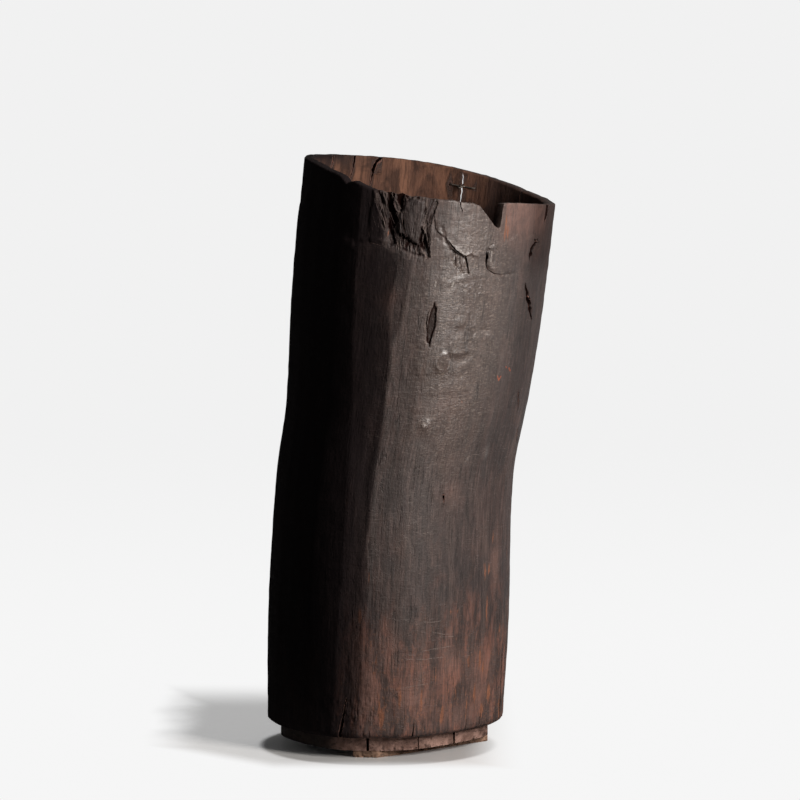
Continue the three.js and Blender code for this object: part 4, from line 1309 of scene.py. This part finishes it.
def through_blade():
    heights = np.linspace(CRACK_FOOT, CRACK_TOP, 26)
    share = (heights - CRACK_FOOT) / (CRACK_TOP - CRACK_FOOT)
    wander = np.array([noise.noise((0.0, height * 0.21, 4.0)) for height in heights])
    half = np.degrees(CRACK_WIDTH * MM / 2 / SHEET_RADIUS) * (0.1 + 0.9 * np.sin(np.pi * share) ** 0.6)
    half = half * (1 + 0.3 * wander)
    angles = CRACK_AT + 0.5 * wander
    near, far = -OVERSHOOT, WALL_AT_MOUTH + OVERSHOOT
    outer, inner = angles + front_to_back(near), angles + front_to_back(far)
    corners = ((outer - half, near), (outer + half, near), (inner + half, far), (inner - half, far))
    points = np.stack([unroll(at, depth, heights * MM) for at, depth in corners], axis=1)
    return points.reshape(-1, 3), tube_faces(len(heights), 4)


def wire_hole(angle):
    radius = WIRE_DIAMETER / 2 + HOLE_CLEARANCE
    turns = np.arange(8) * math.pi / 4
    around = angle + np.degrees(radius * np.cos(turns) / SHEET_RADIUS)
    heights = wire_height(angle) + radius * np.sin(turns)
    ends = [unroll(around, depth, heights) for depth in (-OVERSHOOT, WALL_AT_MOUTH + OVERSHOOT)]
    return np.concatenate(ends), tube_faces(2, 8)


half_span = round_crack(WIRE_SPAN / 2)
blades += [through_blade(), wire_hole(CRACK_AT - half_span), wire_hole(CRACK_AT + half_span)]


# %% Cut them all out
def turned_outwards(mesh):
    tool = bmesh.new()
    tool.from_mesh(mesh)
    bmesh.ops.recalc_face_normals(tool, faces=tool.faces)
    tool.to_mesh(mesh)
    tool.free()


def cut_out(piece, cutter):
    modifier = piece.modifiers.new("cracks", "BOOLEAN")
    modifier.operation = "DIFFERENCE"
    modifier.solver = "MANIFOLD"
    modifier.object = cutter
    bake(piece)
    bpy.data.objects.remove(cutter)


turned_outwards(trunk.data)
blade_points, blade_faces = joined(blades)
blade_mesh = mesh_from("blades", blade_points, blade_faces)
# The blades' faces become the cracks' sides, which are painted near black: a painted shade.
paint_evenly(blade_mesh, grime=0.95)
cutter = grow("blades", blade_mesh, rolling_tree("roll_blades", trunk_material), STEM)
turned_outwards(cutter.data)
before = triangle_count(trunk)
cut_out(trunk, cutter)
trunk.data.shade_smooth()
trunk.data.set_sharp_from_angle(angle=math.radians(38))
print("cracks cut: from", before, "to", triangle_count(trunk), "triangles")

# %% [markdown]
# ## Splinters
# Along the torn band slivers of wood still stand away from the wall. Each is a short path that starts in
# the wood and ends just clear of it. The tree turns the paths into thin tapered slivers and rolls
# them onto the stem, so that one rule places them and the wall.

# %% Paths of the slivers
# (degrees, millimetres up) at the root and at the tip, thickness in millimetres
LONG_SLIVERS = (
    ((-107.6, 540), (-113.6, 577), 1.5), ((-103.0, 571), (-108.3, 589), 1.3),
    ((-101.4, 566), (-101.6, 585), 1.0), ((-98.4, 566), (-96.3, 584), 1.1),
    ((-103.6, 530), (-102.8, 545), 1.3), ((-90.8, 545), (-86.6, 574), 1.2),
    ((-93.8, 536), (-92.4, 556), 1.0), ((-110.2, 552), (-115.6, 582), 0.9),
    ((-105.4, 556), (-109.2, 574), 0.8),
)
SHORT_SLIVERS = 46
SLIVER_STEPS = 6


def sliver_paths():
    draw = np.random.default_rng(11)
    slivers = list(LONG_SLIVERS)
    for _ in range(SHORT_SLIVERS):
        at = draw.uniform(-117, -86)
        low = draw.uniform(526, 572)
        length = draw.uniform(8, 22)
        lean = draw.uniform(-2.6, 0.6)
        slivers.append(((at, low), (at + lean, low + length), draw.uniform(0.3, 0.6)))
    points, edges, girths = [], [], []
    for (root_at, root_z), (tip_at, tip_z), thickness in slivers:
        sway = draw.uniform(-0.5, 0.5)
        for stage in range(SLIVER_STEPS):
            share = stage / (SLIVER_STEPS - 1)
            at = root_at + (tip_at - root_at) * share + sway * math.sin(math.pi * share)
            height = (root_z + (tip_z - root_z) * share) * MM
            points.append(unroll(at, (4.6 - 4.2 * share ** 1.5) * MM, height))
            girths.append(thickness * MM / 2 * (1 - 0.85 * share))
            if stage:
                edges.append((len(points) - 2, len(points) - 1))
    return points, edges, girths


def rolled_curve(name, sizes):
    """A tree that has rolled its path onto the stem and made a curve of it."""
    wiring, inputs = new_geometry_tree(name, sizes)
    rolled = roll(wiring, inputs["Geometry"], inputs)
    return wiring, inputs, wiring.place("GeometryNodeMeshToCurve", {}, {"Mesh": rolled})


def sliver_tree(sizes, material):
    wiring, inputs, curve = rolled_curve("slivers", sizes)
    girth = wiring.place("GeometryNodeInputNamedAttribute", {"data_type": "FLOAT"}, {"Name": "girth"})
    profile = wiring.place("GeometryNodeCurvePrimitiveCircle", {}, {"Resolution": 5, "Radius": 1.0})
    stretch = wiring.vector(1.0, inputs["Flatness"], 1.0)
    thin = wiring.place("GeometryNodeTransform", {}, {"Geometry": profile, "Scale": stretch})
    scaled = wiring.place("GeometryNodeSetCurveRadius", {}, {"Curve": curve, "Radius": girth})
    sockets = {"Curve": scaled, "Profile Curve": thin, "Fill Caps": True}
    slim = wiring.place("GeometryNodeCurveToMesh", {}, sockets)
    if "Scale" in slim.socket.node.inputs:
        wiring.tree.links.new(girth.socket, slim.socket.node.inputs["Scale"])
    return end_tree(wiring, slim, material)


points, edges, girths = sliver_paths()
sliver_mesh = mesh_from("sliver_paths", points, [], edges)
paint_evenly(sliver_mesh, raw=0.75, rubbed=0.12)
add_paint(sliver_mesh, {"girth": girths})
sliver_sizes = {**STEM, "Flatness": 0.6}
slivers = grow("torn_slivers", sliver_mesh, sliver_tree(sliver_sizes, trunk_material), sliver_sizes)
print("slivers:", triangle_count(slivers), "triangles")

# %% [markdown]
# ## Boards that close the foot
# Four short boards lie side by side in the hollow, their worn ends showing under the trunk. Each follows the
# hollow's outline, so a board is a block of cells that is stretched between the front and the back of the
# outline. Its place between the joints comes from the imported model.


# %% Finish of the boards
def board_finish(name, light, dark, grime_height):
    material, wiring, shader = new_material(name)
    place = wiring.place("ShaderNodeTexCoord", {}, {}, output=3)
    east, _, height = place.parts()
    patch = wiring.noise(place, 60.0, detail=4.0)
    grain = wiring.noise(place, (240.0, 30.0, 300.0), detail=4.0)
    crumb = wiring.noise(place, 420.0, detail=3.0)
    # Darker below the given height: a painted shade along the bottom edge.
    low = (height + (patch - 0.5) * 0.012).between(grime_height, grime_height - 0.006)
    colour = wiring.layered(light, (
        (patch.between(0.36, 0.64), dark),
        (grain.between(0.5, 0.68) * 0.6, rgb(0.020, 0.012, 0.009)),
        (low * 0.75, rgb(0.014, 0.009, 0.006)),
        (crumb.between(0.60, 0.70) * 0.55, rgb(0.210, 0.105, 0.048)),
        # Painted shade: the boards' left part is painted near black.
        ((east + (patch - 0.5) * 0.02).between(-0.040, -0.058) * 0.9, rgb(0.014, 0.010, 0.009)),
    ))
    relief = bumps(wiring, ((grain, 0.6, 1.0), (crumb, 0.7, 1.0)))
    feed(wiring, shader, Base_Color=colour, Roughness=0.66 + 0.2 * patch, Normal=relief)
    return material


board_material = board_finish("board_wood", rgb(0.540, 0.330, 0.270), rgb(0.230, 0.130, 0.102), 7.6 * MM)
sole_material = board_finish("sole_wood", rgb(0.480, 0.290, 0.200), rgb(0.150, 0.085, 0.055), 1.4 * MM)


# %% A block of cells between two outlines
def foot_outline(z, setback):
    """The hollow's outline, drawn in by a setback: the front and back y for any x."""
    angles = np.linspace(-180, 180, 721)
    in_trunk = max(z, FOOT)
    radius = stem_radius(angles, in_trunk, STEM) - wall_thickness(in_trunk) - GAP - setback
    x = float(heart_line(in_trunk, STEM)) + radius * np.cos(np.radians(angles))
    y = radius * np.sin(np.radians(angles))
    front = angles <= 0
    order = np.argsort(x[front])
    back_order = np.argsort(x[~front])
    return (x[front][order], y[front][order]), (x[~front][back_order], y[~front][back_order])


def shell_of_cells(counts):
    """The outer points of a block of cells, as shares from 0 to 1, and its faces."""
    index, points, faces = {}, [], []

    def number(cell):
        if cell not in index:
            index[cell] = len(points)
            points.append([cell[axis] / counts[axis] for axis in range(3)])
        return index[cell]

    for axis in range(3):
        one, two = [other for other in range(3) if other != axis]
        for side in (0, counts[axis]):
            for i in range(counts[one]):
                for j in range(counts[two]):
                    corners = []
                    for step_one, step_two in ((0, 0), (1, 0), (1, 1), (0, 1)):
                        cell = [0, 0, 0]
                        cell[axis], cell[one], cell[two] = side, i + step_one, j + step_two
                        corners.append(number(tuple(cell)))
                    faces.append(tuple(corners))
    return np.array(points), faces


def board_piece(name, node, counts, setback_at, cut_at, material, seed):
    """A board over its CAD node, with crumbled edges."""
    low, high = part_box(node)
    shares, faces = shell_of_cells(counts)
    points = np.zeros_like(shares)
    for level in np.unique(shares[:, 2]):
        here = shares[:, 2] == level
        z = low[2] + (high[2] - low[2]) * level
        (front_x, front_y), (back_x, back_y) = foot_outline(z, setback_at(z))
        left = max(low[0], front_x[0] + 0.2 * MM)
        right = min(high[0], front_x[-1] - 0.2 * MM)
        x = left + (right - left) * shares[here, 0]
        front = np.interp(x, front_x, front_y)
        back = np.interp(x, back_x, back_y)
        front = np.maximum(front, cut_at(x))
        points[here] = np.stack([x, front + (back - front) * shares[here, 1], np.full(x.shape, z)], axis=-1)
    middle = points.mean(axis=0)
    crumbs = rough(points, 230, 4, seed=seed)
    rim = np.max(np.abs(shares - 0.5) * 2 > 0.999, axis=1)
    outside = (shares[:, 1] < 0.001) | (shares[:, 1] > 0.999)
    bottom = smooth(points[:, 2], low[2] + 6 * MM, low[2])
    inwards = middle - points
    inwards[:, 2] = 0
    inwards = inwards / (np.linalg.norm(inwards, axis=1, keepdims=True) + 1e-9)
    bite = outside * (0.45 + 0.5 * crumbs + bottom * np.abs(crumbs) * 3.4) * MM
    points += inwards * np.clip(bite, 0, 4 * MM)[:, None] * rim[:, None]
    points[:, 2] -= (shares[:, 2] > 0.999) * np.abs(rough(points, 90, 3, seed=seed + 2)) * 0.8 * MM
    mesh = mesh_from(name, points, faces)
    turned_outwards(mesh)
    mesh.materials.append(material)
    mesh.shade_smooth()
    mesh.set_sharp_from_angle(angle=math.radians(40))
    return stand(name, mesh)


# %% The four boards and the sole
BOARD_SETBACKS = (0.4 * MM, 1.1 * MM, 0.6 * MM, 1.4 * MM)
BOARD_CELLS = (40, 70, 14)
SOLE_SETBACK = 1.5 * MM
SOLE_CELLS = (110, 60, 5)
# The sawn edge of the sole: which way it faces, in degrees, and how far inside the hollow's outline
SOLE_EDGE_AT = -49.0
SOLE_EDGE_IN = 20 * MM


def nothing_cut(x):
    return np.full(x.shape, -1.0)


def slanting_edge(x):
    """The front edge of the sole, sawn across at the right."""
    hollow = float(stem_radius(SOLE_EDGE_AT, FOOT, STEM)) - WALL_AT_FOOT - SOLE_EDGE_IN
    from_heart = x - float(heart_line(FOOT, STEM))
    turn = math.radians(SOLE_EDGE_AT)
    return (hollow - from_heart * math.cos(turn)) / math.sin(turn)


def shown_setback(board):
    return lambda z: BOARD_SETBACKS[board] if z < FOOT - 0.5 * MM else 0.0


boards = [board_piece(f"closing_board_{number + 1}", f"base_board_{number + 1}", BOARD_CELLS,
                      shown_setback(number), nothing_cut, board_material, seed=20.0 + number)
          for number in range(4)]
sole = board_piece("foot_sole", "base_sole", SOLE_CELLS, lambda z: SOLE_SETBACK, slanting_edge,
                   sole_material, seed=31.0)
print("boards and sole:", [triangle_count(piece) for piece in (*boards, sole)], "triangles")

# %% [markdown]
# ## The wire
# A length of soft iron wire goes through both holes and along the outside, and its ends meet over the crack
# in the hollow, where they are twisted together. The route is drawn on the flat sheet like everything
# else. A tree rolls it, smooths it and draws a round wire along it.


# %% The wire's route
WIRE_LIFT = WIRE_DIAMETER / 2 + 1.8 * GAP
WIRE_BEND = 2.3 * MM
TWIST_LENGTH = 9 * MM
TWIST_TURNS = 1.5
TWIST_STEPS = 24
RUN_STOPS = 9
STRAND_GAP = 0.4 * MM
inside_depth = float(wall_thickness(wire_middle)) + WIRE_LIFT


def twist_strand(start_turn):
    spread = (WIRE_DIAMETER + STRAND_GAP) / 2
    points = []
    for stage in range(TWIST_STEPS + 1):
        share = stage / TWIST_STEPS
        turn = 2 * math.pi * (start_turn + share * TWIST_TURNS)
        at = CRACK_AT + round_crack(spread * math.cos(turn))
        depth = inside_depth + WIRE_BEND / 2 + share * TWIST_LENGTH
        points.append(unroll(at, depth, wire_middle + spread * math.sin(turn)))
    return points


def run_along(depth, start, stop):
    return [unroll(at, depth, wire_height(at)) for at in np.linspace(start, stop, RUN_STOPS)]


def through_wall(at, shares=(0.06, 0.3, 0.7, 0.94)):
    across = -WIRE_LIFT - inside_depth
    return [unroll(at, inside_depth + share * across, wire_height(at)) for share in shares]


right_hole, left_hole = CRACK_AT - half_span, CRACK_AT + half_span
bend = round_crack(WIRE_BEND)
beside = round_crack(WIRE_DIAMETER + WIRE_BEND / 2)
route = [
    *twist_strand(0.5)[::-1],
    *run_along(inside_depth, CRACK_AT - beside, right_hole + bend),
    *through_wall(right_hole),
    *run_along(-WIRE_LIFT, right_hole + bend, left_hole - bend),
    *through_wall(left_hole)[::-1],
    *run_along(inside_depth, left_hole - bend, CRACK_AT + beside),
    *twist_strand(0),
]


# %% The wire and its finish
def wire_finish():
    material, wiring, shader = new_material("iron_wire")
    place = wiring.place("ShaderNodeTexCoord", {}, {}, output=3)
    rust = wiring.noise(place, 700.0, detail=3.0)
    colour = wiring.blend(rust.between(0.45, 0.65), rgb(0.22, 0.20, 0.18), rgb(0.080, 0.042, 0.028))
    feed(wiring, shader, Base_Color=colour, Roughness=0.32 + 0.4 * rust, Metallic=rust.between(0.7, 0.4),
         Normal=bumps(wiring, ((rust, 0.4, 0.2),)))
    return material


def wire_tree(sizes, material):
    wiring, inputs, curve = rolled_curve("wire", sizes)
    even = wiring.place("GeometryNodeResampleCurve", {}, {"Curve": curve, "Count": 260})
    radius = inputs["Thickness"] * 0.5
    profile = wiring.place("GeometryNodeCurvePrimitiveCircle", {}, {"Resolution": 12, "Radius": radius})
    sockets = {"Curve": even, "Profile Curve": profile, "Fill Caps": True}
    return end_tree(wiring, wiring.place("GeometryNodeCurveToMesh", {}, sockets), material)


wire_material = wire_finish()
wire_mesh = mesh_from("wire_route", route, [], [(i, i + 1) for i in range(len(route) - 1)])
wire_sizes = {**STEM, "Thickness": WIRE_DIAMETER}
wire = grow("twisted_wire", wire_mesh, wire_tree(wire_sizes, wire_material), wire_sizes)
wire.data.shade_smooth()
print("wire:", triangle_count(wire), "triangles")

# %% [markdown]
# ## Put every piece on its body
# Nothing on the vessel moves, so every piece rides on the one body. Each says which imported node it stands
# for. The slivers stand for none, because the imported trunk has no slivers.

# %% Ride on the body and replace the imported nodes
PIECES = [(trunk, "trunk_wood", ["trunk_shell"]), (slivers, "trunk_wood", []),
          (sole, "sole_wood", ["base_sole"]), (wire, "iron_wire", ["wire_tie"])]
PIECES += [(board, "board_wood", [f"base_board_{number + 1}"]) for number, board in enumerate(boards)]
for piece, slot, nodes in PIECES:
    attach(piece, "root")
    if nodes:
        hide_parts(*nodes)

# %% [markdown]
# ## Camera
# The photograph is taken from above the middle of the vessel with a long lens, so its sides hardly
# converge. The lens comes from the width that the picture covers at the vessel.

# %% Camera
CAMERA_AT = Vector((20 * MM, -5.0, 882 * MM))
LOOK_AT = Vector((20 * MM, 0.0, 362 * MM))
PICTURE_WIDTH = 800
PIXEL = 1.05 * MM
VIEW_WIDTH = PICTURE_WIDTH * PIXEL
camera_data = bpy.data.cameras.new("camera")
camera = stand("camera", camera_data)
camera.location = CAMERA_AT
camera.rotation_euler = (LOOK_AT - CAMERA_AT).to_track_quat("-Z", "Y").to_euler()
camera_data.sensor_width = 36
camera_data.lens = camera_data.sensor_width * (LOOK_AT - CAMERA_AT).length / VIEW_WIDTH
camera_data.clip_end = 50
bpy.context.scene.camera = camera
print("lens:", round(camera_data.lens, 1), "mm")

# %% [markdown]
# ## Floor and light
# The key light stands to the right, a little towards the camera: three things in the photograph say so,
# which are the shaded left third, the shadow on the floor and the shaded right part of the hollow.
# The white ground comes from the floor's own colour and from rays that reach the eye, not from more light.
# A glow painted over the floor beyond the shadow's borders ends the shadow there, and an oval under the foot
# without glow paints a darker contact shadow.

# %% Floor
def shown_rays(wiring):
    """1 for a ray that the eye follows, and 1 for one that a reflection or clear material follows."""
    rays = wiring.place("ShaderNodeLightPath", {}, {}).socket.node.outputs
    kinds = ("Camera", "Glossy", "Transmission")
    seen, glossy, clear = [Value(wiring, rays[f"Is {kind} Ray"]) for kind in kinds]
    return seen, glossy.maths("MAXIMUM", clear)


def floor_finish():
    material = bpy.data.materials.new("floor")
    material.use_nodes = True
    tree = material.node_tree
    tree.nodes.clear()
    wiring = Wiring(tree)
    place = wiring.place("ShaderNodeTexCoord", {}, {}, output=3)
    x, y, _ = place.parts()
    cloud = wiring.noise(place, 9.0, detail=4.0)
    # Beyond these borders the floor glows plain white over the lamp's shadow: painted light that ends the
    # shadow there.
    ragged = x + (cloud - 0.5) * 0.05
    left = ragged.between(-0.185, -0.250)
    right = x.between(0.08, 0.15)
    back = y.between(0.20, 0.38)
    front = (y + x.maths("MINIMUM", -0.11)).between(-0.225, -0.285)
    far = highest((left, right, back, front))
    seen, mirrored = shown_rays(wiring)
    shown = seen.maths("MAXIMUM", mirrored * y.between(0.0, 0.5))
    grey = wiring.blend(cloud, rgb(0.74, 0.74, 0.74), rgb(0.80, 0.80, 0.80))
    grey = wiring.blend(shown, rgb(0.36, 0.36, 0.36), grey)
    sockets = {"Base Color": grey, "Roughness": 0.4, "Specular IOR Level": 0.4}
    matt = wiring.place("ShaderNodeBsdfPrincipled", {}, sockets)
    # No glow in an oval under the foot, so that a darker contact shadow is painted there.
    under_foot = ((x + 0.003) / 0.126) ** 2.0 + ((y + 0.022) / 0.129) ** 2.0
    lift = 0.33 * (1.0 - under_foot.between(1.04, 0.88))
    glow = wiring.place("ShaderNodeEmission", {}, {"Color": rgb(1, 1, 1), "Strength": shown * lift})
    near = wiring.place("ShaderNodeAddShader", {}, {0: matt, 1: glow})
    pale = 0.92 - 0.04 * y.between(0.3, 3.0)
    white = wiring.place("ShaderNodeEmission", {}, {"Color": rgb(1, 1, 1), "Strength": shown * pale})
    both = wiring.place("ShaderNodeMixShader", {}, {0: far, 1: near, 2: white})
    wiring.place("ShaderNodeOutputMaterial", {}, {"Surface": both})
    return material


FLOOR_RADIUS = 3.0
bpy.ops.mesh.primitive_circle_add(vertices=96, radius=FLOOR_RADIUS, fill_type="NGON", location=(0, 0, 0))
floor = bpy.context.object
floor.name = "floor"
floor.data.materials.append(floor_finish())


# %% Lamps and world
WARM_WHITE = (1.0, 0.95, 0.90)


def lamp(name, place, aim, size, power, height=None, shine=1.0):
    data = bpy.data.lights.new(name, "AREA")
    data.energy = power
    data.shape = "RECTANGLE"
    data.size = size
    data.size_y = height or size
    data.specular_factor = shine
    data.color = WARM_WHITE
    light = stand(name, data)
    light.location = place
    light.rotation_euler = (Vector(aim) - Vector(place)).to_track_quat("-Z", "Y").to_euler()


def around_stem(angle, distance, height):
    turn = math.radians(angle)
    return (distance * math.cos(turn), distance * math.sin(turn), height)


lamp("key", around_stem(angle=-42, distance=1.6, height=1.05), aim=(0.02, 0, 0.33),
     size=0.42, power=29.5, height=1.2)
lamp("back", around_stem(angle=68, distance=2.2, height=1.2), aim=(0.02, 0, 0.3),
     size=1.2, power=7, shine=0.1)

world = bpy.data.worlds.new("studio")
bpy.context.scene.world = world
world.use_nodes = True
world.node_tree.nodes.clear()
studio = Wiring(world.node_tree)
seen, mirrored = shown_rays(studio)
backdrop = studio.place("ShaderNodeTexCoord", {}, {}).parts()[1].between(0.985, 0.998)
strength = 0.060 + 0.820 * seen.maths("MAXIMUM", mirrored * backdrop)
dim = studio.place("ShaderNodeBackground", {}, {"Color": rgb(1.0, 1.0, 1.0), "Strength": strength})
studio.place("ShaderNodeOutputWorld", {}, {"Surface": dim})

scene = bpy.context.scene
scene.view_settings.view_transform = "Standard"
